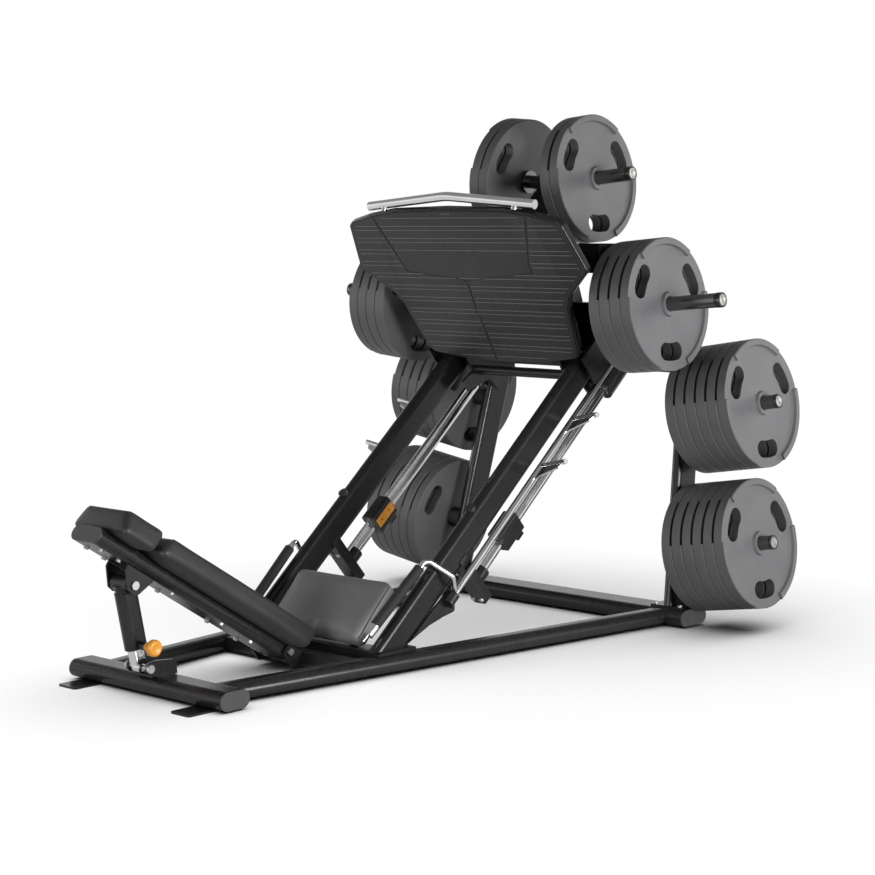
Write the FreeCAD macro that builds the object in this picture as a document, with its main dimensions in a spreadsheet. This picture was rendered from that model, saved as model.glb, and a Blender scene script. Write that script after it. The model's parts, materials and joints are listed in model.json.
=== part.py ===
import FreeCAD, Part
import math
import os
import Sketcher
from types import SimpleNamespace

# Angled leg press machine with loaded weight plates.
# Millimetres and degrees.  +X is the right-hand side seen from the backrest, +Y runs from the
# backrest end to the weight storage end, +Z is up, and x = 0 is the plane of symmetry.
# "Station" coordinates measure y from the front face of the front crossmember.  "Slide" coordinates
# measure along the sloping uprights from their datum point and below their centre line.

DIMENSIONS = {
    # base frame
    "floor_gap": 6, "base_height": 56, "tube_wall": 3,
    "front_tube_depth": 113, "front_tube_half": 346, "cap_thick": 5,
    "rear_tube_depth": 149, "rear_tube_half": 600, "rear_tube_station": 1985,
    "rail_wide": 78, "rail_front_x": 240, "rail_rear_x": 504, "rail_front_y": 60, "rail_rear_y": 1985,
    "cross_depth": 90, "cross_height": 50, "cross_station": 745,
    "hinge_bar_depth": 50, "hinge_bar_height": 40, "hinge_bar_station": 612,
    "tab_wide": 84, "tab_long": 130, "tab_reach": 80, "tab_x": 262, "tab_hole": 11,
    "pad_radius": 40, "rear_pad_x": 525,
    # uprights and slide line
    "slope": 40.6, "slide_y": 800, "slide_z": 107.7,
    "upright_x": 293.3, "upright_thick": 44.6, "upright_deep": 105.6, "upright_wall": 4,
    "upright_top": 1790, "flange_wide": 78, "flange_long": 170, "flange_thick": 8,
    "plug_radius": 17, "plug_height": 5, "plug_along": 505,
    # storage posts and rear upper frame
    "post_thick": 40, "post_deep": 116, "post_foot_x": 515, "post_foot_y": 2002,
    "post_top_x": 441, "post_top_y": 2178, "post_top_z": 905, "post_over": 60,
    "crossbeam_size": 60, "strut_tube": 50,
    # weight plates and horns
    "plate_radius": 225, "plate_pitch": 43.78, "plate_gap": 0.18, "plate_bore": 25.6, "plate_recess": 9,
    "plate_hub": 39, "plate_rim": 203, "grip_circle": 161, "grip_half": 31, "grip_radius": 30,
    "finger_depth": 9, "finger_inner": 198, "finger_start": 130, "finger_sweep": 43,
    "horn_radius": 24.5, "horn_relief": 0.5, "horn_land": 2, "hub_radius": 41,
    "storage_tilt": 9.16, "carriage_tilt": 5.2,
    # guide rods, index rods and their mounts
    "guide_radius": 15, "guide_below": 147, "guide_start": 340, "guide_end": 1690,
    "index_radius": 8, "index_below": 118, "index_pitch": 8, "index_groove": 1.2,
    "mount_start": 335, "mount_long": 38, "mount_reach": 228, "mount_collar": 27, "collar_long": 40,
    "top_mount_start": 1655, "top_mount_reach": 185,
    # safety stops and handles
    "shaft_x": 335, "shaft_below": 66, "shaft_radius": 12, "shaft_start": 222, "shaft_end": 1530,
    "arm_radius": 9, "arm_tip_x": 462, "arm_tip_below": 28, "arm_upper": 1043, "arm_lower": 820,
    "handle_radius": 9, "foam_radius": 17, "handle_below": -91, "handle_x": 292,
    # carriage
    "side_plate_x": 212, "side_plate_thick": 10, "housing_radius": 36, "bushing_radius": 19,
    "housing_start": 1268, "housing_long": 140, "carriage_tube": 17.5, "foot_thick": 30,
    "foot_lean": 32.05, "foot_y": 1375, "foot_z": 1398, "horn_beam": 64,
    "cover_x": 350, "cover_thick": 8, "cover_start": 1196, "cover_long": 220,
    # stop blocks
    "block_start": 530, "block_long": 104, "block_half": 30,
    # backrest, seat and strut
    "back_slope": 31.7, "back_y": -161, "back_z": 521.7, "beam_wide": 130, "beam_thick": 50,
    "beam_start": -22, "beam_end": 846, "hinge_along": 828, "hinge_pin": 9,
    "strut_low_y": -8, "strut_low_z": 92, "strut_high_y": -62, "strut_high_z": 350,
    "seat_slope": 46, "seat_half": 208, "seat_long": 236, "seat_thick": 72,
}

doc = FreeCAD.newDocument("LegPress")
Vector = FreeCAD.Vector
sheet = doc.addObject("Spreadsheet::Sheet", "dims")
for row, (alias, value) in enumerate(DIMENSIONS.items(), start=1):
    sheet.set(f"A{row}", alias)
    sheet.set(f"B{row}", str(value))
    sheet.setAlias(f"B{row}", alias)
doc.recompute()
d = SimpleNamespace(**DIMENSIONS)

X_AXIS = Vector(1, 0, 0)
Y_AXIS = Vector(0, 1, 0)
Z_AXIS = Vector(0, 0, 1)
SIDES = {"right": 1, "left": -1}
NODES = {}


def cosd(angle):
    return math.cos(math.radians(angle))


def sind(angle):
    return math.sin(math.radians(angle))


# The rearmost point is the rim of the upper storage stack, the foremost one the backrest's end cap.
upper_stack_y = 2135.9
rearmost = upper_stack_y + d.plate_radius
foremost = d.back_y + (d.beam_start - d.cap_thick) * cosd(d.back_slope) - d.beam_thick * sind(d.back_slope)
origin_y = (rearmost + foremost) / 2

ALONG = Vector(0, cosd(d.slope), sind(d.slope))
BELOW = Vector(0, sind(d.slope), -cosd(d.slope))
BACK_ALONG = Vector(0, cosd(d.back_slope), -sind(d.back_slope))
BACK_UP = Vector(0, sind(d.back_slope), cosd(d.back_slope))
FOOT_DOWN = Vector(0, sind(d.foot_lean), -cosd(d.foot_lean))
FOOT_BACK = Vector(0, cosd(d.foot_lean), sind(d.foot_lean))


def station(x, y, z):
    return Vector(x, y - origin_y, z)


def slide_point(x, along, below):
    return station(x, d.slide_y, d.slide_z) + ALONG * along + BELOW * below


def back_point(x, along, up):
    return station(x, d.back_y, d.back_z) + BACK_ALONG * along + BACK_UP * up


def foot_point(x, down, back):
    return station(x, d.foot_y, d.foot_z) + FOOT_DOWN * down + FOOT_BACK * back


def placed(origin, x_dir, z_dir):
    """Placement that puts local X and Z along the two given directions."""
    z_unit = Vector(z_dir).normalize()
    x_unit = (x_dir - z_unit * x_dir.dot(z_unit)).normalize()
    return FreeCAD.Placement(origin, FreeCAD.Rotation(x_unit, z_unit.cross(x_unit), z_unit, "ZXY"))


def bind(obj, **expressions):
    for name, text in expressions.items():
        obj.setExpression(name, text)
    return obj


def keep(label, obj):
    """Registers a finished sub-part under its own label."""
    obj.Label = label
    NODES[label] = obj
    return obj


def feature(name, shape):
    obj = doc.addObject("Part::Feature", name)
    obj.Shape = shape
    return obj


def new_body(name):
    body = doc.addObject("PartDesign::Body", name)
    return body


def plane_of(body, role):
    return next(item for item in body.Origin.OriginFeatures if item.Role == role)


def new_sketch(body, name, role="XY_Plane"):
    sketch = body.newObject("Sketcher::SketchObject", name)
    sketch.AttachmentSupport = [(plane_of(body, role), "")]
    sketch.MapMode = "FlatFace"
    return sketch


def name_constraint(sketch, index, name, expression=None):
    sketch.renameConstraint(index, name)
    if expression:
        sketch.setExpression(f"Constraints.{name}", expression)


def add_slot(sketch, tag, wide, thick, wide_text, thick_text):
    """Flat-oval outline centred on the sketch origin with its long side along X."""
    radius = thick / 2
    half = (wide - thick) / 2
    right = sketch.addGeometry(Part.ArcOfCircle(
        Part.Circle(Vector(half, 0, 0), Z_AXIS, radius), -math.pi / 2, math.pi / 2), False)
    top = sketch.addGeometry(Part.LineSegment(Vector(half, radius, 0), Vector(-half, radius, 0)), False)
    left = sketch.addGeometry(Part.ArcOfCircle(
        Part.Circle(Vector(-half, 0, 0), Z_AXIS, radius), math.pi / 2, 3 * math.pi / 2), False)
    low = sketch.addGeometry(Part.LineSegment(Vector(-half, -radius, 0), Vector(half, -radius, 0)), False)
    sketch.addConstraint(Sketcher.Constraint("Tangent", right, 2, top, 1))
    sketch.addConstraint(Sketcher.Constraint("Tangent", top, 2, left, 1))
    sketch.addConstraint(Sketcher.Constraint("Tangent", left, 2, low, 1))
    sketch.addConstraint(Sketcher.Constraint("Tangent", low, 2, right, 1))
    sketch.addConstraint(Sketcher.Constraint("Symmetric", right, 3, left, 3, -1, 1))
    sketch.addConstraint(Sketcher.Constraint("PointOnObject", right, 3, -1))
    size = sketch.addConstraint(Sketcher.Constraint("Radius", right, radius))
    name_constraint(sketch, size, f"{tag}_radius", f"({thick_text}) / 2")
    span = sketch.addConstraint(Sketcher.Constraint("DistanceX", left, 3, right, 3, 2 * half))
    name_constraint(sketch, span, f"{tag}_span", f"({wide_text}) - ({thick_text})")


def oval_tube(name, wide_name, thick_name, wall_name, length, place, length_text=None):
    """Flat-oval tube: section centred on local XY with its wide side along X, length along Z."""
    wide = getattr(d, wide_name)
    thick = getattr(d, thick_name)
    wall = getattr(d, wall_name)
    body = new_body(name)
    sketch = new_sketch(body, name + "_section")
    add_slot(sketch, "outer", wide, thick, f"dims.{wide_name}", f"dims.{thick_name}")
    add_slot(sketch, "inner", wide - 2 * wall, thick - 2 * wall,
             f"dims.{wide_name} - 2 * dims.{wall_name}", f"dims.{thick_name} - 2 * dims.{wall_name}")
    pad = body.newObject("PartDesign::Pad", name + "_length")
    pad.Profile = sketch
    pad.Length = length
    if length_text:
        pad.setExpression("Length", length_text)
    body.Placement = place
    return body


def oval_solid(wide, thick, length, place):
    """Solid flat-oval bar, used to cope a tube that meets another."""
    radius = thick / 2
    half = (wide - thick) / 2
    edges = [
        Part.Arc(Vector(half, -radius, 0), Vector(half + radius, 0, 0), Vector(half, radius, 0)).toShape(),
        Part.LineSegment(Vector(half, radius, 0), Vector(-half, radius, 0)).toShape(),
        Part.Arc(Vector(-half, radius, 0), Vector(-half - radius, 0, 0), Vector(-half, -radius, 0)).toShape(),
        Part.LineSegment(Vector(-half, -radius, 0), Vector(half, -radius, 0)).toShape(),
    ]
    solid = Part.Face(Part.Wire(edges)).extrude(Vector(0, 0, length))
    solid.Placement = place
    return solid


def bar(name, radius_name, start, end):
    """Round bar between two points, its radius bound to the sheet."""
    cylinder = doc.addObject("Part::Cylinder", name)
    bind(cylinder, Radius=f"dims.{radius_name}")
    cylinder.Height = (end - start).Length
    helper = X_AXIS if abs((end - start).normalize().x) < 0.9 else Y_AXIS
    cylinder.Placement = placed(start, helper, end - start)
    return cylinder


def rod(radius, start, end):
    return Part.makeCylinder(radius, (end - start).Length, start, end - start)


def plate_body(name, outline, thickness, place, thickness_text=None, holes=()):
    """Flat plate: outline in local XY, thickness along Z, with round holes (x, y, radius)."""
    body = new_body(name)
    sketch = new_sketch(body, name + "_outline")
    count = len(outline)
    for index in range(count):
        start = Vector(*outline[index], 0)
        end = Vector(*outline[(index + 1) % count], 0)
        sketch.addGeometry(Part.LineSegment(start, end), False)
    for index in range(count):
        sketch.addConstraint(Sketcher.Constraint("Coincident", index, 2, (index + 1) % count, 1))
        sketch.addConstraint(Sketcher.Constraint("DistanceX", -1, 1, index, 1, outline[index][0]))
        sketch.addConstraint(Sketcher.Constraint("DistanceY", -1, 1, index, 1, outline[index][1]))
    for x, y, radius in holes:
        circle = sketch.addGeometry(Part.Circle(Vector(x, y, 0), Z_AXIS, radius), False)
        sketch.addConstraint(Sketcher.Constraint("Radius", circle, radius))
        sketch.addConstraint(Sketcher.Constraint("DistanceX", -1, 1, circle, 3, x))
        sketch.addConstraint(Sketcher.Constraint("DistanceY", -1, 1, circle, 3, y))
    pad = body.newObject("PartDesign::Pad", name + "_thickness")
    pad.Profile = sketch
    pad.Length = thickness
    if thickness_text:
        pad.setExpression("Length", thickness_text)
    body.Placement = place
    return body


def slide_plate(name, outline, x_low, thickness, thickness_text=None, holes=()):
    """Plate lying in a plane of constant x, its outline given as (along, below) slide coordinates."""
    # local X is ALONG, local Y is BELOW turned so that local Z is +X
    flipped = [(along, -below) for along, below in outline]
    turned = [(along, -below, radius) for along, below, radius in holes]
    place = placed(slide_point(x_low, 0, 0), ALONG, X_AXIS)
    return plate_body(name, flipped, thickness, place, thickness_text, turned)


def slide_box(x_low, x_high, along_low, along_high, below_low, below_high):
    """Box lined up with the slide line."""
    box = Part.makeBox(along_high - along_low, below_high - below_low, x_high - x_low)
    box.Placement = placed(slide_point(x_low, along_low, below_high), ALONG, X_AXIS)
    return box


def cut_by(name, base, *tools):
    """Base object with each tool shape removed, kept as Part booleans."""
    result = base
    for index, tool in enumerate(tools):
        cut = doc.addObject("Part::Cut", f"{name}_cope{index}")
        cut.Base = result
        cut.Tool = feature(f"{name}_tool{index}", tool)
        result = cut
    return result


def fuse(name, *objects):
    joined = doc.addObject("Part::MultiFuse", name)
    joined.Shapes = list(objects)
    joined.Refine = True
    return joined


def compound(label, shapes):
    return keep(label, feature(label, Part.makeCompound(shapes)))


def linked(label, objects):
    group = doc.addObject("Part::Compound", label)
    group.Links = list(objects)
    return keep(label, group)


def bent_tube(radius, points, bend):
    """Round tube through the points, each corner rounded with the bend radius."""
    edges = []
    start = points[0]
    for index in range(1, len(points) - 1):
        corner = points[index]
        to_last = (points[index - 1] - corner).normalize()
        to_next = (points[index + 1] - corner).normalize()
        half_angle = math.acos(max(-1, min(1, to_last.dot(to_next)))) / 2
        setback = bend / math.tan(half_angle)
        first = corner + to_last * setback
        last = corner + to_next * setback
        middle = corner + (to_last + to_next).normalize() * (bend / math.sin(half_angle) - bend)
        edges.append(Part.LineSegment(start, first).toShape())
        edges.append(Part.Arc(first, middle, last).toShape())
        start = last
    edges.append(Part.LineSegment(start, points[-1]).toShape())
    path = Part.Wire(edges)
    ring = Part.Wire(Part.Circle(points[0], points[1] - points[0], radius).toShape())
    return path.makePipeShell([ring], True, True)


# ---------------------------------------------------------------- base frame

base_middle = d.floor_gap + d.base_height / 2


def base_frame():
    front_y = d.front_tube_depth / 2
    front_place = placed(station(-d.front_tube_half, front_y, base_middle), Y_AXIS, X_AXIS)
    front = oval_tube("front_tube", "front_tube_depth", "base_height", "tube_wall",
                      2 * d.front_tube_half, front_place, "2 * dims.front_tube_half")
    keep("front_crossmember", front)
    rear_place = placed(station(-d.rear_tube_half, d.rear_tube_station, base_middle), Y_AXIS, X_AXIS)
    rear = oval_tube("rear_tube", "rear_tube_depth", "base_height", "tube_wall",
                     2 * d.rear_tube_half, rear_place, "2 * dims.rear_tube_half")
    keep("rear_crossmember", rear)

    front_solid = oval_solid(d.front_tube_depth, d.base_height, 2 * d.front_tube_half, front_place)
    rear_solid = oval_solid(d.rear_tube_depth, d.base_height, 2 * d.rear_tube_half, rear_place)
    caps = []
    for depth, half, y in ((d.front_tube_depth, d.front_tube_half, front_y),
                           (d.rear_tube_depth, d.rear_tube_half, d.rear_tube_station)):
        for side in SIDES.values():
            start = half if side > 0 else -half - d.cap_thick
            place = placed(station(start, y, base_middle), Y_AXIS, X_AXIS)
            cap = oval_solid(depth, d.base_height, d.cap_thick, place)
            caps.append(cap)
    compound("crossmember_end_caps", caps)

    rails = []
    rail_solids = []
    for side_name, side in SIDES.items():
        start = station(side * d.rail_front_x, d.rail_front_y, base_middle)
        end = station(side * d.rail_rear_x, d.rail_rear_y, base_middle)
        place = placed(start, X_AXIS, end - start)
        rail = oval_tube(f"rail_{side_name}", "rail_wide", "base_height", "tube_wall",
                         (end - start).Length, place)
        rails.append(cut_by(f"rail_{side_name}", rail, front_solid, rear_solid))
        rail_solids.append(oval_solid(d.rail_wide, d.base_height, (end - start).Length, place))
    linked("base_rails", rails)

    top_z = d.floor_gap + d.base_height
    half = 380
    cross = doc.addObject("Part::Box", "cross_box")
    bind(cross, Width="dims.cross_depth", Height="dims.cross_height")
    cross.Length = 2 * half
    cross.Placement.Base = station(-half, d.cross_station - d.cross_depth / 2, top_z - d.cross_height)
    hollow = Part.makeBox(2 * half, d.cross_depth - 8, d.cross_height - 8,
                          station(-half, d.cross_station - d.cross_depth / 2 + 4, top_z - d.cross_height + 4))
    mid = cut_by("cross", cross, hollow, *rail_solids, *rail_outboard())

    hinge_top = top_z - 8
    low = doc.addObject("Part::Box", "hinge_box")
    bind(low, Width="dims.hinge_bar_depth", Height="dims.hinge_bar_height")
    low.Length = 2 * half
    low.Placement.Base = station(-half, d.hinge_bar_station - d.hinge_bar_depth / 2,
                                 hinge_top - d.hinge_bar_height)
    bar_hollow = Part.makeBox(2 * half, d.hinge_bar_depth - 6, d.hinge_bar_height - 6,
                              station(-half, d.hinge_bar_station - d.hinge_bar_depth / 2 + 3,
                                      hinge_top - d.hinge_bar_height + 3))
    hinge_bar = cut_by("hinge_bar", low, bar_hollow, *rail_solids, *rail_outboard())
    linked("inner_crossmembers", [mid, hinge_bar])

    feet = []
    for side in SIDES.values():
        tab = Part.makeBox(d.tab_wide, d.tab_long, d.floor_gap,
                           station(side * d.tab_x - d.tab_wide / 2, -d.tab_reach, 0))
        upright_edges = [edge for edge in tab.Edges if abs(edge.tangentAt(edge.FirstParameter).z) > 0.9]
        tab = tab.makeFillet(10, upright_edges)
        hole = Part.makeCylinder(d.tab_hole / 2, d.floor_gap, station(side * d.tab_x, -d.tab_reach + 30, 0))
        feet.append(tab.cut(hole))
        feet.append(Part.makeCylinder(d.pad_radius, d.floor_gap,
                                      station(side * d.rear_pad_x, d.rear_tube_station, 0)))
    compound("floor_feet", feet)


def rail_outboard():
    """Blocks outside the two rails, which trim the crossmembers to the rails' inner sides."""
    blocks = []
    for side in SIDES.values():
        start = station(side * d.rail_front_x, d.rail_front_y, 0)
        end = station(side * d.rail_rear_x, d.rail_rear_y, 0)
        block = Part.makeBox(400, 200, (end - start).Length)
        place = placed(start, X_AXIS, end - start)
        block.Placement = place.multiply(FreeCAD.Placement(
            Vector(0 if side > 0 else -400, -100, 0), FreeCAD.Rotation()))
        blocks.append(block)
    return blocks


def uprights():
    top_z = d.floor_gap + d.base_height
    foot_along = (top_z + d.flange_thick - d.slide_z) / sind(d.slope)
    below_floor = foot_along - d.upright_deep
    plugs = []
    for side_name, side in SIDES.items():
        x = side * d.upright_x
        place = placed(slide_point(x, below_floor, 0), BELOW, ALONG)
        tube = oval_tube(f"upright_tube_{side_name}", "upright_deep", "upright_thick", "upright_wall",
                         d.upright_top - below_floor, place)
        under = Part.makeBox(200, 600, 300, station(x - 100, 400, top_z + d.flange_thick - 300))
        trimmed = cut_by(f"upright_{side_name}", tube, under)
        foot_y = d.slide_y + foot_along * cosd(d.slope)
        flange = doc.addObject("Part::Box", f"upright_flange_{side_name}")
        bind(flange, Length="dims.flange_wide", Width="dims.flange_long", Height="dims.flange_thick")
        flange.Placement.Base = station(x + side * 4 - d.flange_wide / 2, foot_y - d.flange_long / 2, top_z)
        keep(f"upright_{side_name}", fuse(f"upright_weldment_{side_name}", trimmed, flange))
        start = slide_point(x, d.plug_along, -d.upright_deep / 2 - d.plug_height)
        plug = rod(d.plug_radius, start, start + BELOW * (d.plug_height + 8))
        plugs.append(plug.cut(upright_solid(side)))
        for along in (225, 620):
            # small rubber wear strips along the rounded top edge
            edge = -d.upright_deep / 2
            strip = slide_box(x - 4, x + 4, along, along + 46, edge - 2.5, edge + 3)
            plugs.append(strip.cut(upright_solid(side)))
    compound("upright_plugs", plugs)


def upright_solid(side):
    return oval_solid(d.upright_deep, d.upright_thick, d.upright_top + 200,
                      placed(slide_point(side * d.upright_x, -200, 0), BELOW, ALONG))


def post_axis(side):
    top_z = d.floor_gap + d.base_height
    foot = station(side * d.post_foot_x, d.post_foot_y, top_z)
    top = station(side * d.post_top_x, d.post_top_y, d.post_top_z)
    return foot, top


def post_solid(side, extra=150):
    foot, top = post_axis(side)
    along = (top - foot).normalize()
    return oval_solid(d.post_deep, d.post_thick, (top - foot).Length + extra + d.post_over,
                      placed(foot - along * extra, Y_AXIS, along))


def storage_posts():
    posts = []
    top_z = d.floor_gap + d.base_height
    for side_name, side in SIDES.items():
        foot, top = post_axis(side)
        along = (top - foot).normalize()
        tube = oval_tube(f"post_tube_{side_name}", "post_deep", "post_thick", "upright_wall",
                         (top - foot).Length + 120 + d.post_over, placed(foot - along * 120, Y_AXIS, along))
        under = Part.makeBox(400, 400, 300, foot + Vector(-200, -200, -300 + d.flange_thick))
        trimmed = cut_by(f"post_{side_name}", tube, under)
        flange = doc.addObject("Part::Box", f"post_flange_{side_name}")
        flange.Length = 128
        flange.Width = 112
        bind(flange, Height="dims.flange_thick")
        flange.Placement.Base = Vector(foot.x - 64, station(0, d.rear_tube_station, 0).y - 44, top_z)
        posts.append(fuse(f"post_weldment_{side_name}", trimmed, flange))
    linked("storage_posts", posts)


def rear_upper_frame():
    size = d.crossbeam_size
    y = d.post_top_y
    z = d.post_top_z
    half = d.post_top_x
    beam = Part.makeBox(2 * half, size, size, station(-half, y - size / 2, z - size / 2))
    hollow = Part.makeBox(2 * half, size - 8, size - 8, station(-half, y - size / 2 + 4, z - size / 2 + 4))
    frame = beam.cut(hollow).cut(post_solid(1)).cut(post_solid(-1))
    strut_y = y - d.strut_tube / 2 + 2
    for side in SIDES.values():
        # short struts carry the rods' top mounts, which are welded under the uprights
        strut = Part.makeBox(d.strut_tube, d.strut_tube, 330,
                             station(side * d.upright_x - d.strut_tube / 2, strut_y, z + size / 2))
        bore = Part.makeBox(d.strut_tube - 6, d.strut_tube - 6, 330,
                            station(side * d.upright_x - d.strut_tube / 2 + 3, strut_y + 3, z + size / 2))
        above = slide_box(side * d.upright_x - 60, side * d.upright_x + 60, 900, 2300,
                          -600, d.top_mount_reach)
        frame = frame.fuse(strut.cut(bore).cut(above))
    keep("rear_upper_frame", feature("rear_upper_frame", frame.removeSplitter()))


# ---------------------------------------------------------------- weight plates and horns

# Each stack: outer face centre (x, y, z), tilt of its horn, number of plates, horn reach past the face.
STACKS = {
    "storage_upper": (784.0, upper_stack_y, 790.0, d.storage_tilt, 6, 60),
    "storage_lower": (837.2, 2051.0, 313.8, d.storage_tilt, 6, 50),
    "carriage_middle": (647.7, 1764.2, 1138.5, d.carriage_tilt, 4, 210),
    "carriage_top": (207.0, 1935.8, 1569.1, d.carriage_tilt, 2, 150),
}


def weight_plate():
    """One plate: inner face on z = 0, revolved, with three grip holes and three rim finger gaps."""
    body = new_body("weight_plate")
    sketch = new_sketch(body, "plate_section", "XZ_Plane")
    thick = d.plate_pitch - d.plate_gap
    profile = [(d.plate_bore, 0), (d.plate_radius - 3, 0), (d.plate_radius, 3), (d.plate_radius, thick - 3),
               (d.plate_radius - 3, thick), (d.plate_rim, thick), (d.plate_rim - 4, thick - d.plate_recess),
               (d.plate_hub + 4, thick - d.plate_recess), (d.plate_hub, thick), (d.plate_bore, thick)]
    for index, point in enumerate(profile):
        following = profile[(index + 1) % len(profile)]
        sketch.addGeometry(Part.LineSegment(Vector(*point, 0), Vector(*following, 0)), False)
    turn = body.newObject("PartDesign::Revolution", "plate_disc")
    turn.Profile = sketch
    turn.ReferenceAxis = (sketch, ["V_Axis"])
    turn.Angle = 360
    doc.recompute()

    grip = new_sketch(body, "grip_hole")
    add_kidney(grip)
    pocket = body.newObject("PartDesign::Pocket", "grip_pocket")
    pocket.Profile = grip
    pocket.Type = 1
    pocket.Midplane = True
    doc.recompute()
    grips = body.newObject("PartDesign::PolarPattern", "grip_pattern")
    grips.Originals = [pocket]
    grips.Axis = (grip, ["N_Axis"])
    grips.Angle = 360
    grips.Occurrences = 3
    body.Tip = grips
    doc.recompute()

    finger = new_sketch(body, "finger_gap")
    finger.AttachmentOffset = FreeCAD.Placement(Vector(0, 0, thick), FreeCAD.Rotation())
    add_sector(finger, d.finger_inner, d.plate_radius + 5, d.finger_start, d.finger_start + d.finger_sweep)
    notch = body.newObject("PartDesign::Pocket", "finger_notch")
    notch.Profile = finger
    bind(notch, Length="dims.finger_depth")
    doc.recompute()
    fingers = body.newObject("PartDesign::PolarPattern", "finger_pattern")
    fingers.Originals = [notch]
    fingers.Axis = (finger, ["N_Axis"])
    fingers.Angle = 360
    fingers.Occurrences = 3
    body.Tip = fingers
    doc.recompute()
    return body


def add_kidney(sketch):
    """Rounded grip hole that follows the grip circle, centred on 150 degrees."""
    centre = 150
    spread = math.degrees(d.grip_half / d.grip_circle)
    outer = d.grip_circle + d.grip_radius
    inner = d.grip_circle - d.grip_radius
    low, high = centre - spread, centre + spread

    def at(radius, angle):
        return Vector(radius * cosd(angle), radius * sind(angle), 0)

    def turned(angle):
        return Vector(-sind(angle), cosd(angle), 0) * d.grip_radius

    def arc(first, middle, last):
        sketch.addGeometry(Part.Arc(first, middle, last), False)

    arc(at(outer, low), at(outer, centre), at(outer, high))
    arc(at(outer, high), at(d.grip_circle, high) + turned(high), at(inner, high))
    arc(at(inner, high), at(inner, centre), at(inner, low))
    arc(at(inner, low), at(d.grip_circle, low) - turned(low), at(outer, low))


def add_sector(sketch, inner, outer, start, end):
    def at(radius, angle):
        return Vector(radius * cosd(angle), radius * sind(angle), 0)

    middle = (start + end) / 2
    sketch.addGeometry(Part.Arc(at(outer, start), at(outer, middle), at(outer, end)), False)
    sketch.addGeometry(Part.LineSegment(at(outer, end), at(inner, end)), False)
    sketch.addGeometry(Part.Arc(at(inner, end), at(inner, middle), at(inner, start)), False)
    sketch.addGeometry(Part.LineSegment(at(inner, start), at(outer, start)), False)


def stack_frame(name, side):
    """Outer face centre, outward axis and inner face centre of one stack."""
    x, y, z, tilt, count, _ = STACKS[name]
    outward = Vector(side * cosd(tilt), 0, sind(tilt))
    face = station(side * x, y, z)
    return face, outward, face - outward * (count * d.plate_pitch)


def plate_stacks(plate):
    for name, (_, _, _, _, count, _) in STACKS.items():
        for side_name, side in SIDES.items():
            _, outward, inner = stack_frame(name, side)
            copies = []
            for index in range(count):
                copy = plate.Shape.copy()
                # local X points to +Y on the right and -Y on the left, so both sides mirror each other
                copy.Placement = placed(inner + outward * (index * d.plate_pitch), Y_AXIS * side, outward)
                copies.append(copy)
            compound(f"{name}_plates_{side_name}", copies)


def horns():
    storage = []
    for name in ("storage_upper", "storage_lower"):
        for side in SIDES.values():
            face, outward, inner = stack_frame(name, side)
            tip = face + outward * STACKS[name][5]
            horn = horn_rod(inner - outward * 110, face, tip)
            hub = rod(d.hub_radius, inner - outward * 110, inner - outward * 1)
            storage.append(horn.fuse(hub).cut(post_solid(side, 0)).Solids)
    # the coped horn keeps only the piece on the plates' side of the post
    storage = [max(pieces, key=lambda solid: solid.Volume) for pieces in storage]
    compound("storage_horns", [solid.removeSplitter() for solid in storage])


def horn_rod(root, face, tip):
    """Horn whose free end is a full-size land and whose stretch under the plates is slightly relieved."""
    outward = (tip - face).normalize()
    land = face + outward * d.horn_land
    return rod(d.horn_radius - d.horn_relief, root, land).fuse(rod(d.horn_radius, land, tip))


# ---------------------------------------------------------------- guide rods and mounts

def guide_rods():
    rods = []
    racks = []
    lower = []
    upper = []
    for side in SIDES.values():
        x = side * d.upright_x
        guide = rod(d.guide_radius, slide_point(x, d.guide_start, d.guide_below),
                    slide_point(x, d.guide_end, d.guide_below))
        rods.append(guide)
        index = rod(d.index_radius, slide_point(x, d.guide_start, d.index_below),
                    slide_point(x, d.guide_end, d.index_below))
        for step in range(24):
            along = 430 + step * 2 * d.index_pitch
            ring = rod(d.index_radius + 1, slide_point(x, along, d.index_below),
                       slide_point(x, along + d.index_pitch / 2, d.index_below))
            core = rod(d.index_radius - d.index_groove, slide_point(x, along, d.index_below),
                       slide_point(x, along + d.index_pitch / 2, d.index_below))
            index = index.cut(ring.cut(core))
        racks.append(index)
        for start, reach, group in ((d.mount_start, d.mount_reach, lower),
                                    (d.top_mount_start, d.top_mount_reach, upper)):
            block = slide_box(x - 28, x + 28, start, start + d.mount_long, 20, reach)
            edges = [edge for edge in block.Edges
                     if abs(edge.tangentAt(edge.FirstParameter).dot(ALONG)) > 0.9]
            block = block.makeFillet(10, edges)
            block = block.cut(upright_solid(side))
            target = slide_point(x, start, reach)
            block = min(block.Solids, key=lambda solid: solid.CenterOfMass.sub(target).Length)
            if group is lower:
                collar = rod(d.mount_collar, slide_point(x, start + d.mount_long, d.guide_below),
                             slide_point(x, start + d.mount_long + d.collar_long, d.guide_below))
                block = block.fuse(collar)
            block = block.cut(guide).cut(index)
            group.append(block)
    compound("guide_rods", rods)
    compound("index_rods", racks)
    compound("rod_mounts", lower + upper)


# ---------------------------------------------------------------- safety stops and handles

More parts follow.
